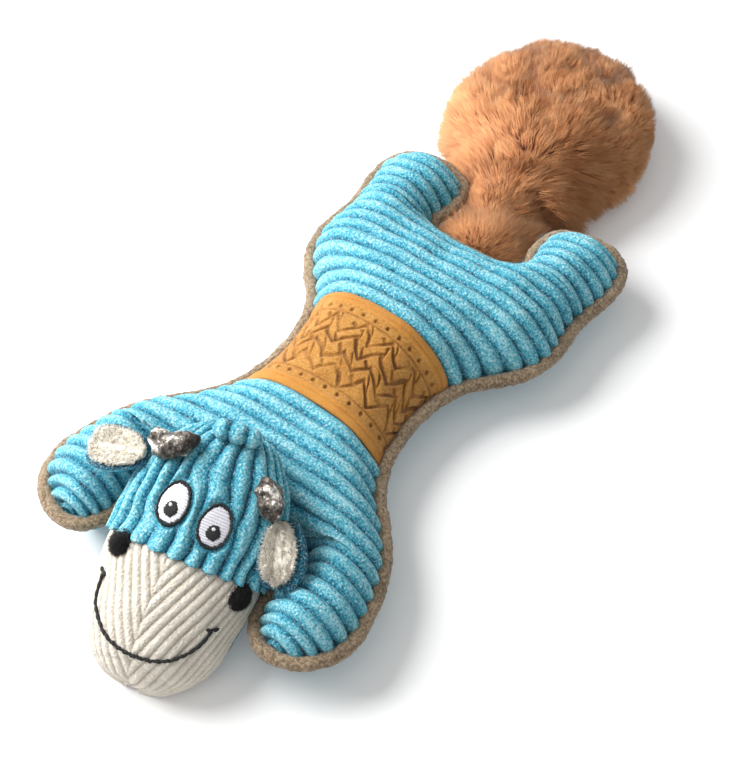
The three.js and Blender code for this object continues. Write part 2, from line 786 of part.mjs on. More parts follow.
const chestHalf = outlinePoints.slice(1, chestCorner);
const rumpHalf = outlinePoints.slice(rumpCorner + 1, outlineSamples);
const chestRun = [...chestHalf.map(mirrored).reverse(), outlinePoints[0], ...chestHalf];
const rumpRun = [...rumpHalf, outlinePoints[outlineSamples], ...rumpHalf.map(mirrored).reverse()];
addPiece(torso, "piping_chest", pipingAlong(chestRun), taupeFleece);
addPiece(torso, "piping_rump", pipingAlong(rumpRun), taupeFleece);

const halves = [
  { name: "left", turn: (geometry) => geometry },
  { name: "right", turn: mirroredGeometry },
];
const runs = {
  side: [frontOuter, hindOuter],
  front: [chestCorner + foldSkip - 1, frontOuter - foldSkip],
  hind: [hindOuter + foldSkip, rumpCorner - foldSkip + 1],
};

for (const half of halves) {
  const sidePiping = half.turn(pipingBetween(...runs.side));
  addPiece(torso, "piping_side_" + half.name, sidePiping, taupeFleece);
  for (const kind of ["front", "hind"]) {
    const limb = new THREE.Group();
    toy.add(limb);
    const pieces = pawPieces(kind);
    const name = kind + "_paw_" + half.name;
    addPiece(limb, name + "_top", half.turn(pieces.upper), blueCorduroy);
    addPiece(limb, name + "_under", half.turn(pieces.under), blueCorduroy);
    addPiece(limb, name + "_stuffing", half.turn(pieces.stuffing), polyesterFibre);
    addPiece(limb, name + "_piping", half.turn(pipingBetween(...runs[kind])), taupeFleece);
  }
}

// Neck: a stuffed knot that stands on the chest and seats in the back of the head
const neckSides = 18;
const neckRings = 8;

function neckSeat() {
  const ring = steps(neckSides).map((turn) => {
    const x = neckAside + neckRadius * Math.cos(turn * 2 * Math.PI);
    const y = neckForward + neckRadius * Math.sin(turn * 2 * Math.PI);
    return pillowPoint(x, Math.max(y, frontRoot), 1, 0, halfGap).z;
  });
  return Math.max(...ring) + clearance;
}

function neckBall(radius, base) {
  const low = Math.asin((base - neckHeight) / radius);
  const arc = steps(neckRings).map((share) => {
    const turn = THREE.MathUtils.lerp(low, Math.PI / 2, share);
    return new THREE.Vector2(radius * Math.cos(turn), neckHeight + radius * Math.sin(turn));
  });
  const profile = [new THREE.Vector2(0, base), ...arc];
  const turned = new THREE.LatheGeometry(profile, neckSides);
  turned.rotateX(Math.PI / 2);
  turned.translate(neckAside, neckForward, 0);
  return weld(turned);
}

const neckBase = neckSeat();
const neckSocket = neckBall(neckRadius + clearance, neckHeight - neckRadius);
const neck = new THREE.Group();
toy.add(neck);
addPiece(neck, "neck_knot", neckBall(neckRadius, neckBase), blueCorduroy);

// Head
const head = new THREE.Group();
toy.add(head);
const crown = headPanel(crownRows, faceAngles, halfGap);
const muzzle = headPanel(muzzleRows, faceAngles, halfGap);
const nape = headPanel(headRows, napeAngles, -halfGap);
addPiece(head, "head_crown", cutBy(crown, neckSocket), blueCorduroy);
addPiece(head, "head_muzzle", muzzle, whiteCorduroy);
addPiece(head, "head_back", cutBy(nape, neckSocket), blueCorduroy);
addPiece(head, "head_stuffing", cutBy(headStuffing(), neckSocket), polyesterFibre);

const topknotSides = 8;
const topknotShares = [[70, 0.09], [82, 0.097], [95, 0.102], [107, 0.107]];
const topknotLift = -topknotRadius - clearance;
const topknotLine = topknotShares.map(([angle, along]) => headPoint(along, angle, topknotLift));
const topknot = plumpTube(topknotLine, topknotRadius, topknotSides, topknotSides);
addPiece(head, "topknot", topknot, blueCorduroy);
addPiece(head, "mouth_stitch", mouthStitch(), blackThread);

const eyePlaces = { left: { angle: 76.5, along: 0.357 }, right: { angle: 110, along: 0.34 } };
const nostrilPlaces = { left: { angle: 36.5, along: 0.54 }, right: { angle: 139, along: 0.525 } };
const rimShare = 1 - eyeRimWidth / eyeHalfWidth;
const whiteShare = rimShare - clearance / eyeHalfWidth;
const pupilShare = pupilHalfWidth / eyeHalfWidth;
const holeShare = pupilShare + clearance / eyeHalfWidth;

for (const name of ["left", "right"]) {
  const size = [eyePlaces[name], eyeHalfWidth, eyeHalfHeight];
  addPiece(head, "eye_rim_" + name, stitchedRing(...size, rimShare, 1), blackThread);
  addPiece(head, "eye_white_" + name, stitchedRing(...size, holeShare, whiteShare), whiteThread);
  addPiece(head, "eye_pupil_" + name, stitchedRing(...size, 0, pupilShare), blackThread);
  addPiece(head, "nostril_" + name, nostrilPad(nostrilPlaces[name]), blackThread);
}

// Horns: places on the head as angles and shares of its length
const hornSides = 10;
const hornShares = {
  left: [[58, 0.19], [49, 0.243], [41, 0.297]],
  right: [[156, 0.183], [132, 0.215], [113, 0.155]],
};

// Ears: where each leaves the head, the way it reaches and the way its lining faces
const earPlaces = {
  left: {
    angle: 20, along: 0.27, liftShare: 1,
    reach: [0.45, -0.8, -0.39], face: [0.25, -0.3, 0.92],
  },
  right: {
    angle: 162, along: 0.235, liftShare: 0,
    reach: [-0.94, -0.25, -0.22], face: [-0.3, -0.4, 0.87],
  },
};
const earStack = earThickness + earCup / 2;

for (const name of ["left", "right"]) {
  const hornLift = -hornRadius - 2 * clearance;
  const line = hornShares[name].map(([angle, along]) => headPoint(along, angle, hornLift));
  const horn = new THREE.Group();
  toy.add(horn);
  addPiece(horn, "horn_" + name, plumpTube(line, hornRadius, hornSides, hornSides), silverLame);
  const place = earPlaces[name];
  const reach = new THREE.Vector3(...place.reach).normalize();
  const across = reach.clone().cross(new THREE.Vector3(...place.face)).normalize();
  const face = across.clone().cross(reach);
  const ear = new THREE.Group();
  ear.quaternion.setFromRotationMatrix(new THREE.Matrix4().makeBasis(across, reach, face));
  const earLift = -clearance - place.liftShare * earStack;
  ear.position.copy(headPoint(place.along, place.angle, earLift));
  toy.add(ear);
  addPiece(ear, "ear_back_" + name, earBack(), blueCorduroy);
  addPiece(ear, "ear_lining_" + name, earLining(), whiteCorduroy);
}

// Tail, which turns on its tab under the rump seam
function bellyRearAt(height) {
  let y = hindRoot;
  while (pillowPoint(0, y, -1, 0, halfGap).z > height) y -= clearance;
  return y;
}
const tail = new THREE.Group();
tail.position.y = bellyRearAt(tailSeamHeight + tabThickness / 2) + clearance + tabHalfWidth;
tail.rotation.z = THREE.MathUtils.degToRad(tailLeanAngle);
toy.add(tail);
addPiece(tail, "tail_tab", tailTab(), caramelFur);
addPiece(tail, "tail_fur_upper", tailPelt(1), caramelFur);
addPiece(tail, "tail_fur_lower", tailPelt(-1), caramelFur);
addPiece(tail, "tail_stuffing", tailStuffing(), polyesterFibre);

// Origin in the middle of the bounding box, on the floor
const box = new THREE.Box3().setFromObject(toy, true);
const middle = box.getCenter(new THREE.Vector3());
toy.position.set(-middle.x, -middle.y, -box.min.z);

export default toy;
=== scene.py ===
# Stuffed cow toy in corduroy plush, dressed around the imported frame.
# Metres, +Z up, -Y towards the head, +X towards the toy's own left side.
import math

import bpy
import numpy as np
from mathutils import Matrix, Vector


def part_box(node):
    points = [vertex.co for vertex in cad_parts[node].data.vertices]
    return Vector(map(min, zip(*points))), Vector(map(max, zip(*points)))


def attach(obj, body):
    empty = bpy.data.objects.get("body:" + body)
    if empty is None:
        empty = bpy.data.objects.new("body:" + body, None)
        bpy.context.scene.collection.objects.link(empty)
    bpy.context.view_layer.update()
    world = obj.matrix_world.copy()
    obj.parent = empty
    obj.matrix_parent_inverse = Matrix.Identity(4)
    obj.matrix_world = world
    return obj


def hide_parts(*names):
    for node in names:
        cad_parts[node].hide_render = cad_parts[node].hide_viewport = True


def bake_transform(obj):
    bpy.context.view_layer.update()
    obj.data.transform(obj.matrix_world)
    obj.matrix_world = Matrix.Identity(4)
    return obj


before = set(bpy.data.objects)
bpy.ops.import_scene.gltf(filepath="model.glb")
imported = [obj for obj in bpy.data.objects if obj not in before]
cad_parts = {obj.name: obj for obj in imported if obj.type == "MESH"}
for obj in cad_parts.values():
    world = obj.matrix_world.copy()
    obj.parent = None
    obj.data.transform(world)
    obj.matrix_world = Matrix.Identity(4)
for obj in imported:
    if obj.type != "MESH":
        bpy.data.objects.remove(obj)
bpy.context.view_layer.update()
bpy.ops.object.select_all(action="DESELECT")
print("frame loaded")

# Shape of the body pillow. Outline shares are of the half width and of the length, chest to rump.
body = {
    "length": 0.252, "halfWidth": 0.075, "seamHeight": 0.022, "rise": 0.031, "pawDrop": 0.031,
    "floorCut": 0.0005, "edgeRound": 0.03, "skin": 0.002, "bandFront": -0.0756, "bandRear": -0.0252,
    "outlineShares": [
        (0, -0.5), (0.24, -0.5), (0.42, -0.5), (0.515, -0.512),
        (0.527, -0.548), (0.5, -0.583), (0.5, -0.615), (0.535, -0.645),
        (0.61, -0.668), (0.71, -0.675), (0.84, -0.663), (0.933, -0.639),
        (0.987, -0.607), (1, -0.571), (0.973, -0.532), (0.92, -0.48),
        (0.84, -0.433), (0.72, -0.389), (0.587, -0.345), (0.493, -0.29),
        (0.453, -0.23), (0.453, -0.167), (0.493, -0.111), (0.56, -0.071),
        (0.68, -0.032), (0.773, 0.008), (0.82, 0.06), (0.81, 0.111),
        (0.805, 0.159), (0.835, 0.214), (0.84, 0.258), (0.8, 0.294),
        (0.707, 0.317), (0.587, 0.325), (0.453, 0.317), (0.347, 0.302),
        (0.307, 0.27), (0.307, 0.238), (0.333, 0.202), (0.28, 0.179),
        (0.18, 0.175), (0, 0.175),
    ],
    "riseShares": [
        (-0.7, 0.76), (-0.58, 0.78), (-0.5, 0.8), (-0.4, 0.76), (-0.3, 0.7), (-0.2, 0.86),
        (-0.1, 1), (0, 0.87), (0.1, 0.8), (0.18, 0.76), (0.26, 0.72), (0.35, 0.7),
    ],
    "dropShares": [
        (-0.7, 1), (-0.56, 0.95), (-0.48, 0.35), (-0.4, 0), (-0.1, 0),
        (0.1, 0.05), (0.18, 0.5), (0.26, 1), (0.35, 1),
    ],
}
corduroy = {
    "pitch": 0.0076, "height": 0.0026, "sharpness": 0.55, "uneven": 0.22, "drift": 0.0007, "overShare": 0.4,
    "flatShare": 0.68, "tuck": 0.0011, "tuckReach": 0.0028, "overhang": 0.0019, "overhangReach": 0.0035,
}
piping = {"radius": 0.003, "clearance": 0.0006, "sides": 20, "step": 0.0009, "fleece": 0.00036}
neck = {
    "aside": -0.004, "forward": -0.114, "height": 0.0445, "rings": 60, "sides": 150, "folds": 8,
    "foldDepth": 0.06, "foldSharpness": 0.7, "footShares": (0, 0.5, 0.93),
}

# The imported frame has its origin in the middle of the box, so the toy is moved along its length.
knotLow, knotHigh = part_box("neck_knot")
toyShift = (knotLow.y + knotHigh.y) / 2 - neck["forward"]


def at(x, y, z):
    return Vector((x, y + toyShift, z))


# Camera and light
camera = {"lens": 85, "azimuth": 36.1, "elevation": 52, "distance": 0.765, "aim": (0.0049, -0.04, 0.02)}
light = {
    "key": {"turn": -70, "rise": 42, "distance": 0.9, "size": 0.85, "power": 17.5},
    "fill": {"turn": 20, "rise": 65, "distance": 1.1, "size": 0.9, "power": 1.6},
    "sky": 0.38, "floorGlow": 0.1, "fade": (0.5, 1.3),
}


def fromAngles(azimuth, elevation):
    turn, rise = math.radians(azimuth), math.radians(elevation)
    return Vector((math.sin(turn) * math.cos(rise), -math.cos(turn) * math.cos(rise), math.sin(rise)))


def addCamera():
    back = fromAngles(camera["azimuth"], camera["elevation"])
    bpy.ops.object.camera_add(location=at(*camera["aim"]) + back * camera["distance"])
    made = bpy.context.object
    made.name = "photoCamera"
    made.rotation_euler = (-back).to_track_quat("-Z", "Y").to_euler()
    made.data.lens = camera["lens"]
    made.data.clip_start = 0.01
    bpy.context.scene.camera = made


def addLamp(name, lamp):
    towards = fromAngles(lamp["turn"], lamp["rise"])
    bpy.ops.object.light_add(type="AREA", location=towards * lamp["distance"])
    made = bpy.context.object
    made.name = name
    made.rotation_euler = (-towards).to_track_quat("-Z", "Y").to_euler()
    made.data.shape = "DISK"
    made.data.size = lamp["size"]
    made.data.energy = lamp["power"]


addCamera()
addLamp("keyLamp", light["key"])
addLamp("fillLamp", light["fill"])


# Finishes: a wire is a socket that Python's sums work on, and each sum adds its Math node.
class Wire:
    def __init__(self, tree, socket):
        self.tree = tree
        self.socket = socket

    def reckon(self, operation, first, second=0):
        made = self.tree.nodes.new("ShaderNodeMath")
        made.operation = operation
        for slot, value in zip(made.inputs, (first, second)):
            if isinstance(value, Wire):
                self.tree.links.new(value.socket, slot)
            else:
                slot.default_value = value
        return Wire(self.tree, made.outputs[0])

    def __add__(self, other):
        return self.reckon("ADD", self, other)

    def __sub__(self, other):
        return self.reckon("SUBTRACT", self, other)

    def __mul__(self, other):
        return self.reckon("MULTIPLY", self, other)

    def __pow__(self, other):
        return self.reckon("POWER", self, other)

    def __radd__(self, other):
        return self.reckon("ADD", other, self)

    def __rsub__(self, other):
        return self.reckon("SUBTRACT", other, self)

    def __rmul__(self, other):
        return self.reckon("MULTIPLY", other, self)


def paint(code):
    shares = [int(code[i:i + 2], 16) / 255 for i in (0, 2, 4)]
    return [s / 12.92 if s <= 0.04045 else ((s + 0.055) / 1.055) ** 2.4 for s in shares] + [1]


class Finish:
    def __init__(self, name, fixed):
        self.material = bpy.data.materials.new(name)
        self.material.use_nodes = True
        self.tree = self.material.node_tree
        self.shader = self.tree.nodes["Principled BSDF"]
        for socket, value in fixed.items():
            self.shader.inputs[socket].default_value = value
        self.places = self.node("TexCoord", output="Object")

    def node(self, kind, settings=None, sockets=None, output=0):
        made = self.tree.nodes.new("ShaderNode" + kind)
        for name, value in (settings or {}).items():
            if name == "stops":
                self.setStops(made.color_ramp.elements, value)
            else:
                setattr(made, name, value)
        for name, value in (sockets or {}).items():
            self.join(value, made.inputs[name])
        return Wire(self.tree, made.outputs[output])

    def setStops(self, elements, stops):
        while len(elements) < len(stops):
            elements.new(1)
        for element, (place, code) in zip(elements, stops):
            element.position = place
            element.color = paint(code)

    def join(self, value, socket):
        if isinstance(value, Wire):
            self.tree.links.new(value.socket, socket)
        else:
            socket.default_value = value

    def noise(self, size, detail=2, roughness=0.5):
        sockets = {"Vector": self.places, "Scale": 1 / size, "Detail": detail, "Roughness": roughness}
        return self.node("TexNoise", None, sockets, "Fac")

    def reading(self, attribute):
        return self.node("Attribute", {"attribute_name": attribute}, None, "Fac")

    def ramp(self, value, stops):
        return self.node("ValToRGB", {"stops": stops}, {"Fac": value}, "Color")

    def spread(self, value, low, high):
        sockets = {"Value": value, "From Min": low, "From Max": high}
        return self.node("MapRange", {"interpolation_type": "SMOOTHSTEP"}, sockets)

    def mixed(self, share, first, second):
        settings = {"data_type": "RGBA", "clamp_factor": True}
        return self.node("Mix", settings, {0: share, 6: first, 7: second}, 2)

    def colour(self, value):
        self.join(value, self.shader.inputs["Base Color"])

    def bump(self, height, distance, strength=1):
        sockets = {"Height": height, "Distance": distance, "Strength": strength}
        normal = self.node("Bump", None, sockets, "Normal")
        self.join(normal, self.shader.inputs["Normal"])

    def cover(self, tone, stops, height, depth, strength):
        self.colour(self.ramp(tone, stops))
        self.bump(height, depth, strength)
        return self.material


# Colour stops of the finishes, from dark to light
shades = {
    "blue": [(0.05, "08465c"), (0.28, "1584a0"), (0.56, "52afc2"), (0.84, "acd8df")],
    "white": [(0.05, "aca08d"), (0.28, "c8beae"), (0.56, "ddd4c6"), (0.84, "eae4d8")],
    "suede": [(0.05, "805012"), (0.3, "a0681c"), (0.56, "bd8230"), (0.9, "d3a054")],
    "suedeEdge": [(0.05, "844e0f"), (0.4, "b3721d"), (0.8, "cb8a32")],
    "fleece": [(0.34, "51402e"), (0.5, "87735a"), (0.68, "b6a186")],
    "black": [(0.2, "060606"), (0.5, "141314"), (0.85, "2e2c2d")],
    "satin": [(0.2, "a5a2b0"), (0.5, "dddce4"), (0.85, "f8f7f9")],
    "pile": [(0.3, "0a0a0b"), (0.75, "2a2829")],
    "sherpa": [(0.2, "b9b1a0"), (0.45, "e3dccd"), (0.8, "f6f1e5")],
    "pale": [(0.1, "c4bcab"), (0.45, "e6dfd0"), (0.85, "f7f3e9")],
    "lame": [(0.24, "241f1c"), (0.44, "5d534b"), (0.64, "8f877d"), (0.84, "f6f3ec")],
    "fur": [(0.08, "824a2a"), (0.3, "b06f42"), (0.6, "cc8b5a"), (0.98, "e6ae7a")],
}


def makeCorduroy(name, stops, speck, nap, contrast):
    finish = Finish(name, {"Roughness": 0.95, "Sheen Weight": 0.12, "Sheen Roughness": 0.5})
    crush = finish.noise(0.012, 3, 0.6)
    pile = finish.noise(nap, 3, 0.8)
    sockets = {"Vector": finish.places, "Scale": 0.8 / nap, "Randomness": 1}
    loops = finish.node("TexVoronoi", {"feature": "F1"}, sockets, "Distance")
    # The wale reading darkens the grooves and the loops darken the gaps between tufts of pile: painted
    # shade. Crush noise varies the tone at random.
    tone = (finish.reading("wale") * 0.56 + (crush - 0.5) * 0.45 + (pile - 0.5) * contrast
            + (0.45 - loops) * contrast * 0.3 + 0.1)
    glints = finish.spread(finish.noise(nap * 0.9, 2, 0.7), 0.56, 0.68)
    finish.colour(finish.mixed(glints * 0.5, finish.ramp(tone, stops), paint(speck)))
    finish.bump(pile * 0.7 + crush * 0.2 - loops * 0.45, nap * 1.25, 0.9)
    return finish.material


def makeSuede():
    finish = Finish("ochreSuede", {"Roughness": 0.85, "Sheen Weight": 0.15})
    nap = finish.noise(0.001, 4, 0.8)
    wear = finish.noise(0.012, 3, 0.65)
    # The wale reading holds the band's relief, so the cut lines, dots and tread grooves are darker: painted
    # shade. Nap and wear noise vary the tone at random.
    tone = finish.reading("wale") * 0.5 + (nap - 0.5) * 1.6 + (wear - 0.5) * 0.6 + 0.22
    middle, edges = finish.ramp(tone, shades["suede"]), finish.ramp(tone + 0.05, shades["suedeEdge"])
    finish.colour(finish.mixed(finish.reading("border"), middle, edges))
    finish.bump(nap, 0.001, 0.9)
    return finish.material


def makeFleece():
    finish = Finish("taupeFleece", {"Roughness": 1, "Sheen Weight": 0.2})
    pile = finish.noise(0.0012, 3, 0.7)
    return finish.cover(pile * 0.8 + finish.noise(0.02) * 0.25, shades["fleece"], pile, 0.0012, 0.9)


def makeThread(name, stops, roughness, pitch, along):
    finish = Finish(name, {"Roughness": roughness, "Sheen Weight": 0.04})
    stitch = finish.reading(along) * (2 * math.pi / pitch)
    ridge = stitch.reckon("SINE", stitch) * 0.5 + 0.5
    fuzz = finish.noise(0.0007, 3, 0.7)
    # The stitch ridges make the gaps between threads darker: painted shade. The fuzz varies the tone at
    # random.
    return finish.cover(ridge * 0.35 + fuzz * 0.65, stops, ridge * 0.6 + fuzz * 0.5, 0.0003, 0.7)


def makeSherpa():
    finish = Finish("whiteSherpa", {"Roughness": 1, "Sheen Weight": 0.3})
    curl = finish.noise(0.0014, 3, 0.7)
    # The wale reading darkens the lining's grooves: painted shade.
    tone = curl * 0.7 + finish.noise(0.008) * 0.35 + (finish.reading("wale") - 0.6) * 0.25
    return finish.cover(tone, shades["sherpa"], curl, 0.0012, 0.8)


def makeLame():
    finish = Finish("silverLame", {"Sheen Weight": 0.1})
    crush = finish.noise(0.0052, 2, 0.6)
    glitter = finish.noise(0.0008, 2, 0.6)
    # The tone is darker towards both tapered ends, next to the head: painted shade.
    fromMiddle = finish.reading("reach") - 0.5
    ends = fromMiddle.reckon("ABSOLUTE", fromMiddle) * 2
    # Crush and glitter noise set dark and bright patches in the colour: painted reflections of the crumpled,
    # glittering metal cloth.
    tone = (crush - 0.5) * 1.9 + (glitter - 0.5) * 0.9 - (ends ** 3) * 0.3 + 0.55
    finish.join(finish.spread(glitter, 0.35, 0.6) * 0.55 + 0.25, finish.shader.inputs["Metallic"])
    finish.join(0.55 - finish.spread(glitter, 0.45, 0.7) * 0.25, finish.shader.inputs["Roughness"])
    return finish.cover(tone, shades["lame"], crush * 0.7 + glitter * 0.3, 0.0018, 1)


def makeFur():
    finish = Finish("caramelFur", {"Roughness": 0.9, "Sheen Weight": 0.12, "Sheen Roughness": 0.4})
    drift = finish.noise(0.02) - 0.5
    # Darker towards the roots: painted shade among the strands. The tone reading adds random strand tone and
    # painted rim light.
    tone = finish.reading("reach") * 0.56 + finish.reading("tone") * 0.42 + drift * 0.25 + 0.1
    finish.colour(finish.ramp(tone, shades["fur"]))
    return finish.material


def makePale():
    finish = Finish("palePile", {"Roughness": 1, "Sheen Weight": 0.2})
    # Darker towards the roots: painted shade among the strands. The tone reading varies at random.
    finish.colour(finish.ramp(finish.reading("reach") * 0.4 + finish.reading("tone") * 0.5, shades["pale"]))
    return finish.material


def makePlain(name, dark, light, size, roughness, depth):
    finish = Finish(name, {"Roughness": roughness})
    grain = finish.noise(size, 3, 0.6)
    return finish.cover(grain, [(0.3, dark), (0.7, light)], grain, depth, 0.7)


def makePile():
    finish = Finish("blackPile", {"Roughness": 0.95, "Sheen Weight": 0.1})
    fuzz = finish.noise(0.0009, 3, 0.7)
    return finish.cover(fuzz, shades["pile"], fuzz, 0.0005, 0.8)


finishes = {
    "blue": makeCorduroy("blueCorduroy", shades["blue"], "e2f3f5", 0.00095, 1.4),
    "white": makeCorduroy("whiteCorduroy", shades["white"], "f6f2ea", 0.0009, 0.6),
    "suede": makeSuede(),
    "fleece": makeFleece(),
    "black": makeThread("blackThread", shades["black"], 0.75, 0.0005, "aside"),
    "satin": makeThread("whiteThread", shades["satin"], 0.55, 0.0009, "up"),
    "pile": makePile(),
    "sherpa": makeSherpa(),
    "pale": makePale(),
    "lame": makeLame(),
    "fur": makeFur(),
    "tape": makePlain("caramelTape", "8a5430", "b5794c", 0.0011, 0.95, 0.0004),
    "fibre": makePlain("polyesterFibre", "cfcfcb", "f6f6f3", 0.0016, 1, 0.0008),
    "vinyl": makePlain("clearVinyl", "c9d0d6", "e2e6e9", 0.006, 0.35, 0.0002),
    "plastic": makePlain("blackPlastic", "131314", "232324", 0.002, 0.4, 0.0001),
}
print("finishes made")


# Curves and tables
def circle(count):
    return np.linspace(0, 2 * math.pi, count, endpoint=False)


# Distance of each point of a line from its first
def runAlong(line):
    return np.append(0, np.cumsum(np.linalg.norm(np.diff(line, axis=0), axis=1)))


def evenly(points, count):
    places = runAlong(points)
    wanted = np.linspace(0, places[-1], count)
    return np.stack([np.interp(wanted, places, points[:, i]) for i in range(points.shape[1])], 1)


def smoothLine(points, count):
    points = np.asarray(points, float)
    ends = np.vstack([2 * points[0] - points[1], points, 2 * points[-1] - points[-2]])
    share = np.linspace(0, 1, 24, endpoint=False)[:, None]
    run = []
    for a, b, c, d in zip(ends, ends[1:], ends[2:], ends[3:]):
        before, here, after = (np.linalg.norm(q - p) ** 0.5 for p, q in ((a, b), (b, c), (c, d)))
        leave = ((b - a) / before - (c - a) / (before + here) + (c - b) / here) * here
        arrive = ((c - b) / here - (d - b) / (here + after) + (d - c) / after) * here
        square, cube = share ** 2, share ** 3
        run.append((2 * cube - 3 * square + 1) * b + (cube - 2 * square + share) * leave
                   + (3 * square - 2 * cube) * c + (cube - square) * arrive)
    return evenly(np.vstack(run + [points[-1:]]), count)


# Smooth curve through the rows of a table, level at both ends
def throughTable(table, place):
    table = np.asarray(table, float)
    places, values = table[:, 0], table[:, 1:]
    slopes = np.diff(values, axis=0) / np.diff(places)[:, None]
    leans = np.zeros_like(values)
    leans[1:-1] = (slopes[1:] + slopes[:-1]) / 2
    place = np.clip(place, places[0], places[-1])
    high = np.clip(np.searchsorted(places, place, side="right"), 1, len(places) - 1)
    low = high - 1
    size = (places[high] - places[low])[..., None]
    share = (place - places[low])[..., None] / size
    square, cube = share ** 2, share ** 3
    return ((2 * cube - 3 * square + 1) * values[low] + (cube - 2 * square + share) * size * leans[low]
            + (3 * square - 2 * cube) * values[high] + (cube - square) * size * leans[high])


def smoothStep(low, high, value):
    share = np.clip((value - low) / (high - low), 0, 1)
    return share * share * (3 - 2 * share)


# Shares from low to high that crowd towards 0 and 1
def roundedShares(count, low=0, high=1):
    start, finish = (math.acos(1 - 2 * share) / math.pi for share in (low, high))
    return (1 - np.cos(math.pi * np.linspace(start, finish, count + 1))) / 2


def rowsTowards(start, end, count):
    return start + (end - start) * np.sin(math.pi / 2 * np.linspace(0, 1, count + 1))


def unit(ways):
    return ways / np.maximum(np.linalg.norm(ways, axis=-1, keepdims=True), 1e-12)


# Smooth noise of about one size, between -1 and 1
def lumps(points, size, seed):
    waves = np.random.default_rng(seed)
    total = np.zeros(points.shape[:-1])
    for _ in range(16):
        way = unit(waves.normal(size=3))
        length = size * waves.uniform(0.7, 1.6)
        total += np.sin(points @ way * (2 * math.pi / length) + waves.uniform(0, 2 * math.pi))
    return total / 5


# Meshes
def addMesh(name, points, faces, finish, readings=None, close=True):
    points = np.asarray(points, float) + np.array([0, toyShift, 0])
    mesh = bpy.data.meshes.new(name)
    mesh.from_pydata(points.tolist(), [], faces)
    for key, values in (readings or {}).items():
        layer = mesh.attributes.new(key, "FLOAT", "POINT")
        layer.data.foreach_set("value", np.asarray(values, np.float32).ravel())
    piece = bpy.data.objects.new(name, mesh)
    bpy.context.collection.objects.link(piece)
    mesh.materials.append(finish)
    mesh.polygons.foreach_set("use_smooth", np.ones(len(mesh.polygons), bool))
    if close:
        closeUp(piece)
    return piece


def closeUp(piece):
    bpy.ops.object.select_all(action="DESELECT")
    bpy.context.view_layer.objects.active = piece
    piece.select_set(True)
    bpy.ops.object.mode_set(mode="EDIT")
    bpy.ops.mesh.select_all(action="SELECT")
    bpy.ops.mesh.remove_doubles(threshold=2e-6)
    bpy.ops.mesh.select_all(action="SELECT")
    bpy.ops.mesh.normals_make_consistent(inside=False)
    bpy.ops.object.mode_set(mode="OBJECT")
    piece.select_set(False)


def quadsOf(index):
    corners = (index[:-1, :-1], index[1:, :-1], index[1:, 1:], index[:-1, 1:])
    return np.stack([c.ravel() for c in corners], 1).tolist()


def ringFaces(rings, sides, ends):
    index = np.arange(rings * sides).reshape(rings, sides)
    wrapped = np.hstack([index, index[:, :1]])
    if ends == "joined":
        wrapped = np.vstack([wrapped, wrapped[:1]])
    caps = [index[0].tolist(), index[-1, ::-1].tolist()] if ends == "capped" else []
    return quadsOf(wrapped) + caps


# Closed skin: a fine grid outside, a coarse grid inside and long faces that join them round the rim
def addSkin(name, outer, inner, finish, readings):
    rows, columns = outer.shape[:2]
    outside = np.arange(rows * columns).reshape(rows, columns)
    inside = rows * columns + np.arange(inner.shape[0] * inner.shape[1]).reshape(inner.shape[:2])
    faces = quadsOf(outside) + quadsOf(inside[::-1])
    rims = [
        (outside[0], inside[0]), (outside[-1, ::-1], inside[-1, ::-1]),
        (outside[::-1, 0], inside[::-1, 0]), (outside[:, -1], inside[:, -1]),
    ]
    for fine, coarse in rims:
        stride = (len(fine) - 1) // (len(coarse) - 1)
        for k in range(len(coarse) - 1):
            run = fine[k * stride:(k + 1) * stride + 1].tolist()
            faces.append(run + [int(coarse[k + 1]), int(coarse[k])])
    points = np.vstack([outer.reshape(-1, 3), inner.reshape(-1, 3)])
    whole = {key: np.append(values, np.zeros(inside.size)) for key, values in readings.items()}
    return addMesh(name, points, faces, finish, whole)


# Adds a mesh of rings, whose ends are open, capped or joined to each other
def addShell(name, rings, finish, readings=None, ends="open"):
    faces = ringFaces(*rings.shape[:2], ends)
    return addMesh(name, rings.reshape(-1, 3), faces, finish, readings)


# Attaches a piece to the body that carries it and hides the parts of the imported frame that it stands for
def standIn(piece, carrier, slot, *nodes, fill=None):
    if carrier:
        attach(piece, carrier)
    if nodes:
        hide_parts(*nodes)


# Grid moved outwards by a height at each point
def raised(grid, core, height):
    normal = unit(np.cross(np.gradient(grid, axis=0), np.gradient(grid, axis=1)))
    outward = np.sum(normal * (grid - core), axis=-1)
    return grid + normal * (1 if outward.mean() > 0 else -1) * height[..., None]


# A rib of the corduroy: 0 in the groove and 1 on its crown. Where it is stored as the wale reading, it also
# darkens the grooves' colour: painted shade.
def waleCrown(turns, sharpness=corduroy["sharpness"]):
    return np.abs(np.sin(math.pi * turns)) ** sharpness


# How strongly a place is near an edge, from 1 on it to nothing
def nearness(distance, reach):
    return np.exp(-np.abs(distance) / reach)


# Body pillow
outlineCount = 261
outlineShape = np.array(body["outlineShares"]) * (body["halfWidth"], body["length"])
halfOutline = smoothLine(outlineShape, outlineCount)
wholeOutline = np.vstack([halfOutline, halfOutline * (-1, 1)])
outlineStep = np.linalg.norm(np.diff(halfOutline, axis=0), axis=1).mean()
seamInset = piping["radius"] + piping["clearance"]
frontRoot = -0.5 * body["length"] + seamInset
hindRoot = 0.175 * body["length"] - seamInset


def seamDepth(x, y):
    x, y = np.broadcast_arrays(x, y)
    places = np.stack([x.ravel(), y.ravel()], 1)
    pull = np.zeros(len(places))
    chunk = 4000
    for start in range(0, len(places), chunk):
        gap = ((places[start:start + chunk, None] - wholeOutline[None]) ** 2).sum(2) + (outlineStep / 4) ** 2
        pull[start:start + chunk] = (outlineStep / (gap * np.sqrt(gap))).sum(1)
    return (np.sqrt(2 / pull) - seamInset).reshape(x.shape)


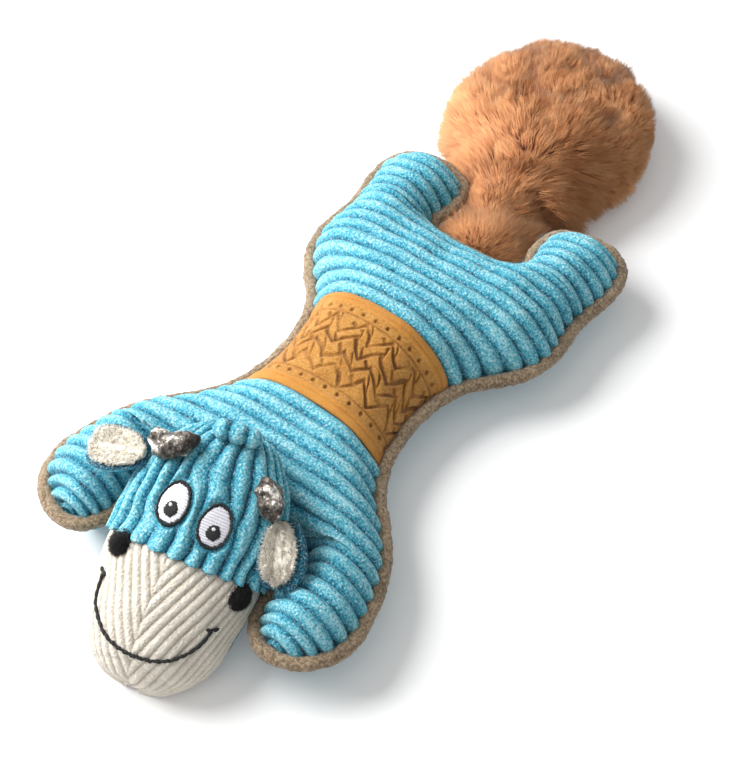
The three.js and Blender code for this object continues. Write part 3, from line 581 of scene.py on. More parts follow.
def pillow(x, y, side, inset=0.0):
    depth = np.clip((seamDepth(x, y) - inset) / body["edgeRound"], 0, 1)
    bulge = np.sqrt(1 - (1 - depth) ** 2)
    if side > 0:
        reach = throughTable(body["riseShares"], y / body["length"])[..., 0] * body["rise"]
    else:
        share = np.maximum(0, throughTable(body["dropShares"], y / body["length"])[..., 0])
        flatDrop = body["seamHeight"] + body["floorCut"]
        reach = flatDrop + (body["pawDrop"] - flatDrop) * share
    z = np.maximum(body["seamHeight"] + side * (reach - inset) * bulge, inset)
    return np.stack([x, y, z], -1)


def edgeFrom(x, y, reach, inset=0.0):
    run = x + reach * np.linspace(0, 1, 200)
    depth = seamDepth(run[None, :], y[:, None]) - inset
    out = np.maximum(np.argmax(depth < 0, axis=1), 1)
    rows = np.arange(len(y))
    near, far = depth[rows, out - 1], depth[rows, out]
    return run[out - 1] + (run[1] - run[0]) * np.clip(near / (near - far), 0, 1)


def torsoGrid(y, columns, side, inset=0.0):
    edge = edgeFrom(0, y, 0.09, inset)[:, None]
    x = edge * (2 * roundedShares(columns)[None, :] - 1)
    return pillow(x, y[:, None] + 0 * x, side, inset)


# Moves the cloth outwards near its two sides, over the seam
def overhang(outer, grid, amount, reach):
    first, last = grid[:, :1, 0], grid[:, -1:, 0]
    near = nearness(grid[..., 0] - last, reach) - nearness(grid[..., 0] - first, reach)
    outer[..., 0] += np.sign(last - first) * near * amount


# Length of the cloth along each column from the first row, without the sideways steps
def clothRun(grid):
    steps = np.diff(grid, axis=0)
    over = np.hypot(steps[..., 1], steps[..., 2]) * corduroy["overShare"]
    flat = np.abs(steps[..., 1]) * corduroy["flatShare"]
    return np.vstack([np.zeros((1, grid.shape[1])), np.cumsum(over + flat, axis=0)])


def dressed(grid, run, core, seed, tuckGap=None):
    crown = waleCrown(run / corduroy["pitch"])
    size = corduroy["height"] * (1 + corduroy["uneven"] * lumps(grid, 0.03, seed))
    height = size * (crown - 0.55) + corduroy["drift"] * lumps(grid, 0.02, seed + 1)
    if tuckGap is not None:
        height -= corduroy["tuck"] * nearness(tuckGap, corduroy["tuckReach"])
    outer = raised(grid, core, height)
    overhang(outer, grid, crown * corduroy["overhang"], corduroy["overhangReach"])
    outer[..., 2] = np.maximum(outer[..., 2], 0)
    return outer, crown


def addTorsoSkin(name, node, rows, side, seed):
    columns, stride = 160, 10
    grid = torsoGrid(rows, columns, side)
    run = clothRun(grid)
    core = np.array([0, rows.mean(), body["seamHeight"]])
    outer, crown = dressed(grid, run, core, seed, (rows - rows[0])[:, None])
    inner = torsoGrid(rows[::stride], columns // stride, side, body["skin"])
    piece = addSkin(name, outer, inner, finishes["blue"], {"wale": crown})
    standIn(piece, "torso", "blue_corduroy", node, fill=0.7)
    return grid, run


chestRows = rowsTowards(body["bandFront"], frontRoot, 120)
hipRows = rowsTowards(body["bandRear"], hindRoot, 160)
bellyRows = frontRoot + (hindRoot - frontRoot) * roundedShares(240)
chestGrid, chestRun = addTorsoSkin("chestSkin", "chest_panel", chestRows, 1, 11)
hipGrid, hipRun = addTorsoSkin("hipSkin", "hip_panel", hipRows, 1, 21)
bellyGrid, bellyRun = addTorsoSkin("bellySkin", "belly_panel", bellyRows, -1, 31)
print("torso skins made")


# Paws: the cloth runs on from the torso.
paws = {
    "front": {"root": frontRoot, "away": -1, "middle": 0.0545, "corner": 0.0395, "seam": -0.126},
    "hind": {"root": hindRoot, "away": 1, "middle": 0.0435, "corner": 0.025, "seam": 0.0441},
}
pawBend = 0.02
halves = {"left": 1, "right": -1}
pawTipRibs = {"reach": 0.011, "extra": 0.009}


def pawGrid(paw, rows, columns, side, inset=0.0):
    reach = paw["root"] + paw["away"] * 0.06 * np.linspace(0, 1, 240)
    inside = seamDepth(paw["middle"], reach) > inset
    tip = reach[np.argmin(inside) - 1]
    y = rowsTowards(paw["root"], tip, rows)
    inner = edgeFrom(paw["middle"], y, -0.05, inset)
    inner[0] = max(inner[0], paw["corner"] + seamInset + inset)
    outer = edgeFrom(paw["middle"], y, 0.05, inset)
    x = inner[:, None] + (outer - inner)[:, None] * roundedShares(columns)[None, :]
    return pillow(x, y[:, None] + 0 * x, side, inset)


def bendPaw(piece, kind):
    paw = paws[kind]
    start = at(0, paw["seam"], body["seamHeight"])
    end = at(0, paw["seam"] + paw["away"] * pawBend, body["seamHeight"])
    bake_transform(piece)


def addPawSkin(kind, half, side, torso, torsoRun):
    paw, rows, columns, stride = paws[kind], 90, 80, 10
    grid = pawGrid(paw, rows, columns, side)
    edgeRow = 0 if abs(torso[0, 0, 1] - paw["root"]) < abs(torso[-1, 0, 1] - paw["root"]) else -1
    first = np.interp(grid[0, :, 0], torso[edgeRow, :, 0], torsoRun[edgeRow])
    far = np.abs(grid[..., 1] - paw["root"])
    nearTip = np.maximum(0, 1 - (far.max() - far) / pawTipRibs["reach"])
    run = (1.1 * far + pawTipRibs["extra"] * nearTip ** 2) * (-1 if edgeRow == 0 else 1) + first
    flip = np.array([halves[half], 1, 1])
    grid = grid * flip
    core = np.array([paw["middle"] * halves[half], grid[..., 1].mean(), body["seamHeight"]])
    outer, crown = dressed(grid, run, core, 41 + side)
    inner = pawGrid(paw, rows // stride, columns // stride, side, body["skin"]) * flip
    face = "top" if side > 0 else "under"
    name = f"{kind}Paw{half.title()}{face.title()}"
    piece = addSkin(name, outer, inner, finishes["blue"], {"wale": crown})
    bendPaw(piece, kind)
    standIn(piece, None, "blue_corduroy", f"{kind}_paw_{half}_{face}", fill=0.7)


for half in halves:
    addPawSkin("front", half, 1, chestGrid, chestRun)
    addPawSkin("hind", half, 1, hipGrid, hipRun)
    for kind in paws:
        addPawSkin(kind, half, -1, bellyGrid, bellyRun)
print("paw skins made")


# Waist band with a tread-like relief between two raised borders. Widths and depths in metres
band = {
    "rows": 130, "columns": 280, "stride": 10, "lanes": (-0.0102, -0.0034, 0.0034, 0.0102),
    "border": 0.0052, "line": 0.00035, "outerLine": 0.62, "innerLine": 0.0045, "lineDepth": 0.6,
    "dotLine": 0.0024, "dotSpacing": 0.0062, "dotRadius": 0.0009, "dotDepth": 0.8, "period": 0.0145,
    "swing": 0.0037, "groove": 0.0007, "sipe": 0.0042, "sipeLean": 0.55, "sipeDepth": 0.8, "laneShift": 0.31,
    "edge": 0.0008, "wobble": (0.0012, 0.011), "slide": (0.0013, 0.013), "worn": (0.72, 0.4, 0.009),
    "depth": 0.0012, "waves": (0.0003, 0.016), "tuck": 0.0012, "overhang": 0.0014, "overhangReach": 0.003,
}


def ridgeLine(distance, width):
    return 1 - smoothStep(width * 0.6, width * 1.5, np.abs(distance))


def bandRelief(along, across):
    half = (body["bandRear"] - body["bandFront"]) / 2
    fromEdge = half - np.abs(along)
    inside = fromEdge - band["border"]
    border = 1 - smoothStep(-band["edge"] / 2, band["edge"] / 2, inside)
    lines = ridgeLine(fromEdge - band["border"] * band["outerLine"], band["line"])
    lines = np.maximum(lines, ridgeLine(inside - band["innerLine"], band["line"]))
    beside = np.abs(across / band["dotSpacing"] % 1 - 0.5) * band["dotSpacing"]
    dots = 1 - smoothStep(0.5, 1.3, np.hypot(beside, inside - band["dotLine"]) / band["dotRadius"])
    places = np.stack([across, along, 0 * along], -1)
    bent = across + band["wobble"][0] * lumps(places, band["wobble"][1], 6)
    slid = along + band["slide"][0] * lumps(places, band["slide"][1], 7)
    share = bent / band["period"] % 1
    zigzag = band["swing"] * (4 * np.abs(share - 0.5) - 1)
    tread = np.zeros_like(along)
    for i, lane in enumerate(band["lanes"]):
        distance = slid - zigzag - lane
        tread = np.maximum(tread, ridgeLine(distance * 0.75, band["groove"]))
        sipe = bent + band["sipeLean"] * distance + i * band["laneShift"] * band["period"]
        sipe = sipe / (band["period"] / 2) % 1 - 0.5
        cut = ridgeLine(sipe * band["period"] / 2, band["groove"] * 0.8)
        within = smoothStep(0, band["edge"], distance)
        within *= 1 - smoothStep(band["sipe"], band["sipe"] + band["edge"], distance)
        tread = np.maximum(tread, band["sipeDepth"] * cut * within)
    mean, spread, size = band["worn"]
    worn = np.clip(mean + spread * lumps(places, size, 8), 0.25, 1)
    tread *= worn * smoothStep(0.0042, 0.0052, inside)
    cuts = np.maximum(np.maximum(lines * band["lineDepth"], dots * band["dotDepth"]), tread)
    return border * 0.35 + 0.65 - cuts * (1 - border * 0.5), border


def addWaistBand():
    rows = np.linspace(body["bandFront"], body["bandRear"], band["rows"] + 1)
    grid = torsoGrid(rows, band["columns"], 1)
    across = np.cumsum(np.linalg.norm(np.diff(grid, axis=1, prepend=grid[:, :1]), axis=-1), axis=1)
    across -= across[:, band["columns"] // 2][:, None]
    along = (rows - rows.mean())[:, None] + 0 * across
    relief, border = bandRelief(along, across)
    core = np.array([0, rows.mean(), body["seamHeight"]])
    height = band["depth"] * (relief - 0.55) + band["waves"][0] * lumps(grid, band["waves"][1], 5)
    height -= band["tuck"] * nearness(np.minimum(rows - rows[0], rows[-1] - rows)[:, None], 0.0012)
    outer = raised(grid, core, height)
    overhang(outer, grid, band["overhang"], band["overhangReach"])
    inner = torsoGrid(rows[::band["stride"]], band["columns"] // band["stride"], 1, body["skin"])
    # The relief goes in as the wale reading, which paints shade into its cuts.
    piece = addSkin("waistBand", outer, inner, finishes["suede"], {"wale": relief, "border": border})
    standIn(piece, "torso", "ochre_suede", "waist_band", fill=0.8)


addWaistBand()
print("waist band made")


# Rings of a tube along a line, and the ways from its middle to them
def tubeRings(line, radii, sides):
    tangent = unit(np.gradient(line, axis=0))
    across = unit(np.cross(tangent, (0, 0, 1)))
    rise = np.cross(across, tangent)
    turn = circle(sides)
    wheel = np.cos(turn)[None, :, None] * across[:, None] + np.sin(turn)[None, :, None] * rise[:, None]
    return line[:, None] + wheel * np.broadcast_to(radii, (len(line), sides))[..., None], wheel


fineOutline = smoothLine(outlineShape, int(outlineStep * outlineCount / piping["step"]))


def outlineIndex(test, start=0):
    return start + int(np.argmax(test(fineOutline[start:])))


pawTip = outlineIndex(lambda p: p[:, 1] < -0.65 * body["length"])
chestCorner = outlineIndex(lambda p: p[:, 0] > 0.44 * body["halfWidth"])
frontOuter = outlineIndex(lambda p: p[:, 1] > frontRoot, pawTip)
hindOuter = outlineIndex(lambda p: p[:, 1] > hindRoot, frontOuter)
rumpCorner = outlineIndex(lambda p: p[:, 0] < 0.26 * body["halfWidth"], hindOuter)


def addPiping(name, flatLine, node, carrier=None):
    line = np.column_stack([flatLine, np.full(len(flatLine), body["seamHeight"])])
    rings, wheel = tubeRings(line, piping["radius"], piping["sides"])
    fleece = lumps(rings, 0.0019, 61) * 0.7 + lumps(rings, 0.006, 62) * 0.6
    rings = rings + wheel * (fleece * piping["fleece"])[..., None]
    piece = addShell(name, rings, finishes["fleece"], ends="capped")
    standIn(piece, carrier, "taupe_fleece", node)
    return piece


def addAllPiping():
    mirror = np.array([-1, 1])
    chest, rump = fineOutline[1:chestCorner + 1], fineOutline[rumpCorner:-1]
    wholeChest = np.vstack([(chest * mirror)[::-1], fineOutline[:1], chest])
    wholeRump = np.vstack([rump, fineOutline[-1:], (rump * mirror)[::-1]])
    addPiping("pipingChest", wholeChest, "piping_chest", "torso")
    addPiping("pipingRump", wholeRump, "piping_rump", "torso")
    for half, sign in halves.items():
        flip = np.array([sign, 1])
        side = fineOutline[frontOuter:hindOuter + 1] * flip
        addPiping("pipingSide" + half.title(), side, "piping_side_" + half, "torso")
        for kind, start, end in (("front", chestCorner, frontOuter), ("hind", hindOuter, rumpCorner)):
            name = f"{kind}Paw{half.title()}Piping"
            piece = addPiping(name, fineOutline[start:end + 1] * flip, f"{kind}_paw_{half}_piping")
            bendPaw(piece, kind)


addAllPiping()
print("piping made")


# Head: a loft on a spine that falls forward. Shares: length, fall, width, front depth, rear depth
head = {
    "start": -0.112, "top": 0.0565, "length": 0.097, "halfWidth": 0.0315, "depth": 0.024, "fall": 0.0445,
    "yaw": 16, "roll": 11, "seam": 0.49, "sideWrap": 10, "chinWrap": 70, "chinStart": 0.72, "skin": 0.002,
    "shares": [
        (0, 0, 0, 0, 0), (0.03, 0.01, 0.4, 0.31, 0.28), (0.06, 0.03, 0.56, 0.44, 0.4),
        (0.16, 0.12, 0.8, 0.65, 0.64), (0.295, 0.27, 0.96, 0.78, 0.84), (0.428, 0.46, 1, 0.83, 0.96),
        (0.56, 0.646, 1, 0.9, 1), (0.68, 0.78, 0.93, 0.94, 1.04), (0.79, 0.885, 0.87, 0.92, 1.02),
        (0.885, 0.948, 0.73, 0.81, 0.88), (0.95, 0.98, 0.54, 0.6, 0.66), (0.985, 0.99, 0.31, 0.36, 0.4),
        (1, 1, 0, 0, 0),
    ],
    "gap": 0.0003, "gapAngle": 0.15, "wales": 24, "waleHeight": 0.0033, "faceMiddle": 98, "past": 0.013,
    "chevronPitch": 0.0038, "chevronAngle": 26, "chevronHeight": 0.0008, "centreWidth": 0.0006,
    "seamTuck": 0.0014,
}
faceLength = math.hypot(head["length"], head["fall"])
headTurn = np.array(Matrix.Rotation(math.radians(head["yaw"]), 3, "Z")
                    @ Matrix.Rotation(math.radians(head["roll"]), 3, "Y"))
headOrigin = np.array([neck["aside"], head["start"], head["top"]])


def headPoint(along, angle, inset=0.0, shift=0.0):
    along, angle = np.broadcast_arrays(np.asarray(along, float), np.asarray(angle, float))
    inset = np.asarray(inset, float)
    margin = inset / head["length"]
    place = margin + (1 - 2 * margin) * along
    step = 0.005
    here, after, before = (
        throughTable(head["shares"], np.clip(place + move, 0, 1))[..., 0] for move in (0, step, -step))
    width, front, behind = np.moveaxis(np.maximum(throughTable(head["shares"], along)[..., 1:], 0), -1, 0)
    slope = (after - before) / step / 2 * head["fall"]
    size = np.hypot(head["length"], slope)
    runY, runZ = -head["length"] / size, -slope / size
    turn = np.radians(angle)
    depth = np.where(np.sin(turn) > 0, front, behind) * (head["depth"] - inset)
    out = depth * np.sin(turn) + shift
    x = width * (head["halfWidth"] - inset) * np.cos(turn)
    y = -place * head["length"] + out * runZ
    z = -here * head["fall"] - out * runY
    points = np.stack([x, y, z], -1) @ headTurn.T + headOrigin
    points[..., 2] = np.maximum(points[..., 2], np.maximum(inset, 0))
    return points


eyes = {
    "left": {"along": 0.357, "angle": 76.5}, "right": {"along": 0.34, "angle": 110},
    "size": (0.0066, 0.0076), "rim": 0.0009, "flatBeyond": 0.0008,
    "pupilSize": (0.0028, 0.0026), "pupilPlace": (-0.0002, -0.0018),
    "glintSize": (0.0007, 0.0006), "glintPlace": (0.0003, -0.0007),
}


def onFace(place, along, angle):
    aside = np.radians(angle - place["angle"]) * head["halfWidth"]
    return aside, (place["along"] - along) * faceLength


def flattenedUnderEyes(along, angle):
    flat = np.zeros(np.broadcast(along, angle).shape)
    width, height = (size + eyes["flatBeyond"] for size in eyes["size"])
    for half in halves:
        aside, up = onFace(eyes[half], along, angle)
        flat = np.maximum(flat, 1 - smoothStep(0.95, 1.2, np.hypot(aside / width, up / height)))
    return flat


# Angle of the cloths' side seam, which runs down under the chin
def seamAngle(along):
    return 180 + head["sideWrap"] + head["chinWrap"] * smoothStep(head["chinStart"], 1, along)


def faceAngles(along, count):
    high = seamAngle(along) - head["gapAngle"]
    return 180 - high + (2 * high - 180) * np.linspace(0, 1, count + 1)[None, :]


def napeAngles(along, count):
    low = seamAngle(along) + head["gapAngle"]
    return low + (540 - 2 * low) * np.linspace(0, 1, count + 1)[None, :]


def crownWales(along, angles, grid):
    drift = 0.3 * lumps(grid, 0.034, 71) + 0.12 * lumps(grid, 0.016, 77)
    crown = waleCrown((angles - head["faceMiddle"]) / 360 * head["wales"] + 0.5 + drift, 0.65)
    width = throughTable(head["shares"], along)[..., 1]
    size = head["waleHeight"] * np.clip(width * 1.1, 0, 1) * (1 + 0.35 * lumps(grid, 0.02, 72))
    flat = flattenedUnderEyes(along, angles)
    ends = smoothStep(head["seam"] - 0.05, head["seam"], along)
    tuck = nearness((along - head["seam"]) * faceLength, 0.0012) * (1 - crown)
    height = size * (crown - 0.6 + 0.25 * ends) * (1 - flat) - 0.0004 * flat - 0.001 * tuck
    return crown * (1 - flat) + flat * 0.6, height + 0.0006 * lumps(grid, 0.013, 73)


def muzzleWales(along, angles, grid):
    width = throughTable(head["shares"], along)[..., 1] * head["halfWidth"]
    aside = np.radians(angles - head["faceMiddle"]) * width
    middle = grid[:, grid.shape[1] // 2]
    down = runAlong(middle)[:, None]
    tilt = math.radians(head["chevronAngle"])
    turns = (down * math.sin(tilt) + np.abs(aside) * math.cos(tilt)) / head["chevronPitch"]
    crown = waleCrown(turns + 0.06 * lumps(grid, 0.03, 75), 0.7)
    centre = nearness(aside, head["centreWidth"]) * (along > head["seam"])
    seam = nearness((along - head["seam"]) * faceLength, head["seamTuck"])
    height = head["chevronHeight"] * (crown - 0.6) - 0.0004 * centre - head["seamTuck"] * seam
    # The colour reading is darker along the centre seam: painted shade in its crease.
    return np.minimum(crown, 1 - 0.5 * centre), height + 0.0004 * lumps(grid, 0.018, 76)


def napeWales(along, angles, grid):
    crown = waleCrown((angles - head["faceMiddle"]) / 360 * head["wales"] + 0.5, 0.6)
    return crown, corduroy["height"] * throughTable(head["shares"], along)[..., 1] * (crown - 0.6)


seamShare = head["gap"] / 2 / head["length"]
cloths = {
    "crown": {
        "rows": roundedShares(150, 0, head["seam"] - seamShare), "angles": faceAngles, "columns": 280,
        "wales": crownWales, "finish": "blue", "node": "head_crown", "shift": 0.00015,
    },
    "muzzle": {
        "rows": roundedShares(170, head["seam"] + seamShare, 1), "angles": faceAngles, "columns": 320,
        "wales": muzzleWales, "finish": "white", "node": "head_muzzle", "shift": 0.00015,
    },
    "nape": {
        "rows": roundedShares(160, 0, 0.94), "angles": napeAngles, "columns": 160,
        "wales": napeWales, "finish": "blue", "node": "head_back", "shift": -0.00015,
    },
}


def addHeadCloth(name, cloth, stride=10):
    along, shift = cloth["rows"][:, None], cloth["shift"]
    angles = cloth["angles"](along, cloth["columns"])
    grid = headPoint(along, angles, 0, shift)
    crown, height = (np.broadcast_to(part, grid.shape[:2]) for part in cloth["wales"](along, angles, grid))
    if name == "crown":
        ends = smoothStep(head["seam"] - 0.07, head["seam"], along)
        grid = headPoint(along + head["past"] * ends * crown ** 1.6, angles, 0, shift)
    outer = raised(grid, headPoint(0.5, 90, head["depth"] * 0.95), height)
    outer[..., 2] = np.maximum(outer[..., 2], 0)
    inner = headPoint(along[::stride], angles[::stride, ::stride], head["skin"], shift)
    piece = addSkin(name + "Skin", outer, inner, finishes[cloth["finish"]], {"wale": crown})
    standIn(piece, "head", cloth["finish"] + "_corduroy", cloth["node"], fill=0.85)


for name, cloth in cloths.items():
    addHeadCloth(name, cloth)
print("head skins made")


# Sewn patches on the face. A loop of (reach, lift) pairs runs from the middle out over the top
# and back below.
def addPatch(name, place, size, loop, sides, finish, jag, seed=81, middle=(0, 0)):
    reaches, lifts = np.array(loop, float).T
    turn = circle(sides)
    jitter = 1 + jag * np.random.default_rng(seed).uniform(-1, 1, sides)
    share = np.where(reaches[:, None] > reaches.max() * 0.9, jitter[None, :], 1) * reaches[:, None]
    across = np.cos(turn) * share * size[0] + middle[0]
    above = np.sin(turn) * share * size[1] + middle[1]
    angles = place["angle"] + np.degrees(across / head["halfWidth"])
    rings = headPoint(place["along"] - above / faceLength, angles, -lifts[:, None] + 0 * across)
    ends = "joined" if reaches[0] > 0 else "open"
    return addShell(name, rings, finish, {"aside": across, "up": above}, ends)


rimShare = 1 - eyes["rim"] / eyes["size"][0]
whiteShare = rimShare - 0.02
eyePatches = {
    "Rim": {
        "size": eyes["size"], "finish": "black", "sides": 120, "jag": 0.05, "seed": 82,
        "loop": [(rimShare, -0.0002), (rimShare, 0.0008), (rimShare + 0.06, 0.0013), (0.94, 0.0013),
                 (1, 0.0008), (1.01, -0.0003)],
    },
    "White": {
        "size": eyes["size"], "finish": "satin", "sides": 96, "jag": 0.05, "seed": 84,
        "loop": [(whiteShare * s, 0.0009) for s in (0, 0.25, 0.5, 0.75, 0.93)]
                + [(whiteShare, 0.0007), (whiteShare, -0.0002), (0, -0.0002)],
    },
    "Pupil": {
        "size": eyes["pupilSize"], "finish": "black", "sides": 60, "jag": 0.12, "seed": 83,
        "middle": eyes["pupilPlace"],
        "loop": [(0, 0.0016), (0.4, 0.0016), (0.8, 0.0014), (1, 0.001), (1, 0.0007), (0, 0.0007)],
    },
    "Glint": {
        "size": eyes["glintSize"], "finish": "satin", "sides": 24, "jag": 0.1, "seed": 81,
        "middle": eyes["glintPlace"],
        "loop": [(0, 0.0019), (0.7, 0.0019), (1, 0.0017), (1, 0.0013), (0, 0.0013)],
    },
}


def addEye(half):
    for part, patch in eyePatches.items():
        settings = {**patch, "finish": finishes[patch["finish"]]}
        piece = addPatch(f"eye{part}{half.title()}", eyes[half], **settings)
        slot = "white_thread" if patch["finish"] == "satin" else "black_thread"
        nodes = [] if part == "Glint" else [f"eye_{part.lower()}_{half}"]
        standIn(piece, "head", slot, *nodes)


# Strands of pile: each has two rings of three points and a tip
strand = {
    "rings": (0, 0.5), "taper": 0.36, "perPiece": 16000, "lowest": 0.0003,
    "quads": [[0, 1, 4, 3], [1, 2, 5, 4], [2, 0, 3, 5]],
    "corners": [[0, 2, 1], [3, 4, 6], [4, 5, 6], [5, 3, 6]],
}


def addStrands(name, roots, ways, bends, radius, finish, tone, carry):
    steep = np.abs(ways[:, 2:3]) >= 0.8 * np.linalg.norm(ways, axis=1, keepdims=True)
    across = unit(np.cross(ways, np.where(steep, [[1.0, 0, 0]], [[0, 0, 1.0]])))
    beside = unit(np.cross(ways, across))
    points = np.zeros((len(roots), 7, 3))
    for j, share in enumerate(strand["rings"]):
        centre = roots + ways * share + bends * share ** 2
        for k in range(3):
            turn = 2 * math.pi * k / 3
            rim = across * math.cos(turn) + beside * math.sin(turn)
            points[:, 3 * j + k] = centre + rim * radius * (1 - strand["taper"] * share)
    points[:, 6] = roots + ways + bends
    points[..., 2] = np.maximum(points[..., 2], strand["lowest"])
    reach = np.tile(np.repeat([*strand["rings"], 1], [3, 3, 1]), (len(roots), 1))
    for part, start in enumerate(range(0, len(roots), strand["perPiece"])):
        chosen = slice(start, start + strand["perPiece"])
        base = 7 * np.arange(len(points[chosen]))[:, None, None]
        faces = [
            face for corners, count in ((strand["quads"], 4), (strand["corners"], 3))
            for face in (base + np.array(corners)[None]).reshape(-1, count).tolist()
        ]
        readings = {"reach": reach[chosen], "tone": np.repeat(tone[chosen], 7)}
        tuft = points[chosen].reshape(-1, 3)
        carry(addMesh(f"{name}{part + 1}", tuft, faces, finish, readings, close=False))


nostrils = {"left": {"along": 0.54, "angle": 36.5}, "right": {"along": 0.525, "angle": 139}}
nostrilSize = {"radius": 0.0052, "height": 0.0026, "strands": 1500, "pile": 0.0017}


def addNostril(half):
    place, radius, height = nostrils[half], nostrilSize["radius"], nostrilSize["height"]
    loop = [(share, 0.0002 + height * (1 - share ** 2.5)) for share in np.linspace(0, 1, 10)]
    loop += [(0.97, -0.0004), (0, -0.0004)]
    pad = addPatch(f"nostril{half.title()}", place, (radius, radius), loop, 48, finishes["pile"], 0.04)
    standIn(pad, "head", "black_thread", f"nostril_{half}", fill=0.7)
    rng = np.random.default_rng(91)
    reach = np.sqrt(rng.uniform(0, 1, nostrilSize["strands"]))
    turn = rng.uniform(0, 2 * math.pi, nostrilSize["strands"])
    angles = place["angle"] + np.degrees(reach * np.cos(turn) * radius / head["halfWidth"])
    along = place["along"] - reach * np.sin(turn) * radius / faceLength
    lift = height * (1 - reach ** 2.5)
    roots = headPoint(along, angles, -lift + 0.0002)
    outward = unit(roots - headPoint(place["along"], place["angle"], 0.002))
    ways = unit(headPoint(along, angles, -lift - 0.001) - roots) * 0.5 + outward
    ways = (ways + rng.normal(0, 0.28, ways.shape)) * nostrilSize["pile"]
    ways *= rng.uniform(0.6, 1.1, (len(ways), 1)) * 0.75
    bends = rng.normal(0, 0.12 * nostrilSize["pile"], ways.shape)

    def carry(piece):
        standIn(piece, "head", "black_thread")

    tone = rng.uniform(0, 1, len(ways))
    addStrands(f"nostrilPile{half.title()}", roots, ways, bends, 0.00014, finishes["pile"], tone, carry)


mouth = {
    "middle": 98, "radius": 0.0006, "sides": 12, "lift": 0.0006, "stitch": 0.0034, "wander": 0.00018,
    "shares": [
        (-54, 0.69), (-52.5, 0.735), (-47, 0.815), (-39.5, 0.87), (-25, 0.91), (-10, 0.922),
        (3.5, 0.923), (21.5, 0.905), (34, 0.87), (45, 0.8), (51.5, 0.72), (51, 0.65),
    ],
    "ends": [(-54, 0.69), (51, 0.65)], "tick": 0.003, "tickTilt": 0.012,
}


def threadAlong(places, count, seed):
    angle, along = smoothLine(np.array(places) * (1, 100), count).T
    drift = np.random.default_rng(seed).uniform(0, 2 * math.pi, 4)
    run = np.linspace(0, count, count)
    wander = mouth["wander"] * (np.sin(run * 0.21 + drift[0]) + np.sin(run * 0.47 + drift[1]))
    line = headPoint(along / 100 + wander / faceLength, mouth["middle"] + angle, -mouth["lift"])
    far = runAlong(line)
    beat = np.abs(np.sin(math.pi * far / mouth["stitch"] + 0.6 * np.sin(far / 0.009)))
    taper = np.clip(np.minimum(far, far[-1] - far) / 0.0008, 0.35, 1)
    radii = mouth["radius"] * (0.8 + 0.5 * beat ** 0.6) * taper
    return tubeRings(line, radii[:, None], mouth["sides"])[0].reshape(-1, 3)


def addMouth():
    threads = [threadAlong(mouth["shares"], 420, 95)]
    turn = math.degrees(mouth["tick"] / head["halfWidth"])
    for angle, along in mouth["ends"]:
        tilt = mouth["tickTilt"] * (1 if angle > 0 else -1)
        places = [(angle - turn, along + tilt), (angle, along), (angle + turn, along - tilt)]
        threads.append(threadAlong(places, 30, 96))
    faces, start = [], 0
    for thread in threads:
        tube = ringFaces(len(thread) // mouth["sides"], mouth["sides"], "capped")
        faces += [[corner + start for corner in face] for face in tube]
        start += len(thread)
    piece = addMesh("mouthStitch", np.vstack(threads), faces, finishes["black"])
    standIn(piece, "head", "black_thread", "mouth_stitch")


horns = {
    "radius": 0.0048, "gap": 0.0006, "rings": 70, "sides": 60, "power": 2.2, "crease": 0.0011,
    "places": {
        "left": [(58, 0.19), (49, 0.243), (41, 0.297)], "right": [(156, 0.183), (132, 0.215), (113, 0.155)],
    },
}
topknot = {
    "radius": 0.0041, "gap": 0.0003, "rings": 90, "sides": 40, "power": 3.5, "crease": 0.0003, "lobes": 3,
    "places": [(64, 0.086), (80, 0.09), (96, 0.096), (112, 0.104)],
}


# Stuffed tube that swells between its ends, with creases across it
def plumpTube(places, form, seed):
    rings, radius = form["rings"], form["radius"]
    angle, along = smoothLine(np.array(places) * (1, 100), rings + 1).T
    line = headPoint(along / 100, angle, -radius - form["gap"])
    share = roundedShares(rings)
    line = np.stack([np.interp(share, np.linspace(0, 1, rings + 1), line[:, i]) for i in range(3)], 1)
    reach = radius * np.maximum(0, 1 - np.abs(2 * share - 1) ** form["power"]) ** 0.5
    shell, wheel = tubeRings(line, reach[:, None], form["sides"])
    folds = 0.55 - np.abs(lumps(shell, radius * 1.5, seed))
    bumps = form["crease"] * (1.3 * folds + 0.3 * lumps(shell, radius * 0.5, seed + 1))
    return shell + wheel * (bumps * (reach / radius)[:, None])[..., None], share


def addHorn(half):
    shell, share = plumpTube(horns["places"][half], horns, 101)
    readings = {"reach": np.repeat(share, horns["sides"])}
    piece = addShell("horn" + half.title(), shell, finishes["lame"], readings)
    standIn(piece, "horn_" + half, "silver_lame", "horn_" + half, fill=0.8)


def addTopknot():
    shell, share = plumpTube(topknot["places"], topknot, 105)
    lobes = np.abs(np.sin(math.pi * share * topknot["lobes"])) ** 0.6
    middle = shell.mean(axis=1, keepdims=True)
    shell = middle + (shell - middle) * (0.62 + 0.5 * lobes)[:, None, None]
    # The lobes go in as the wale reading, so the creases between them are darker: painted shade.
    readings = {"wale": np.repeat(lobes, topknot["sides"])}
    piece = addShell("topknotCloth", shell, finishes["blue"], readings)
    standIn(piece, "head", "blue_corduroy", "topknot", fill=0.7)


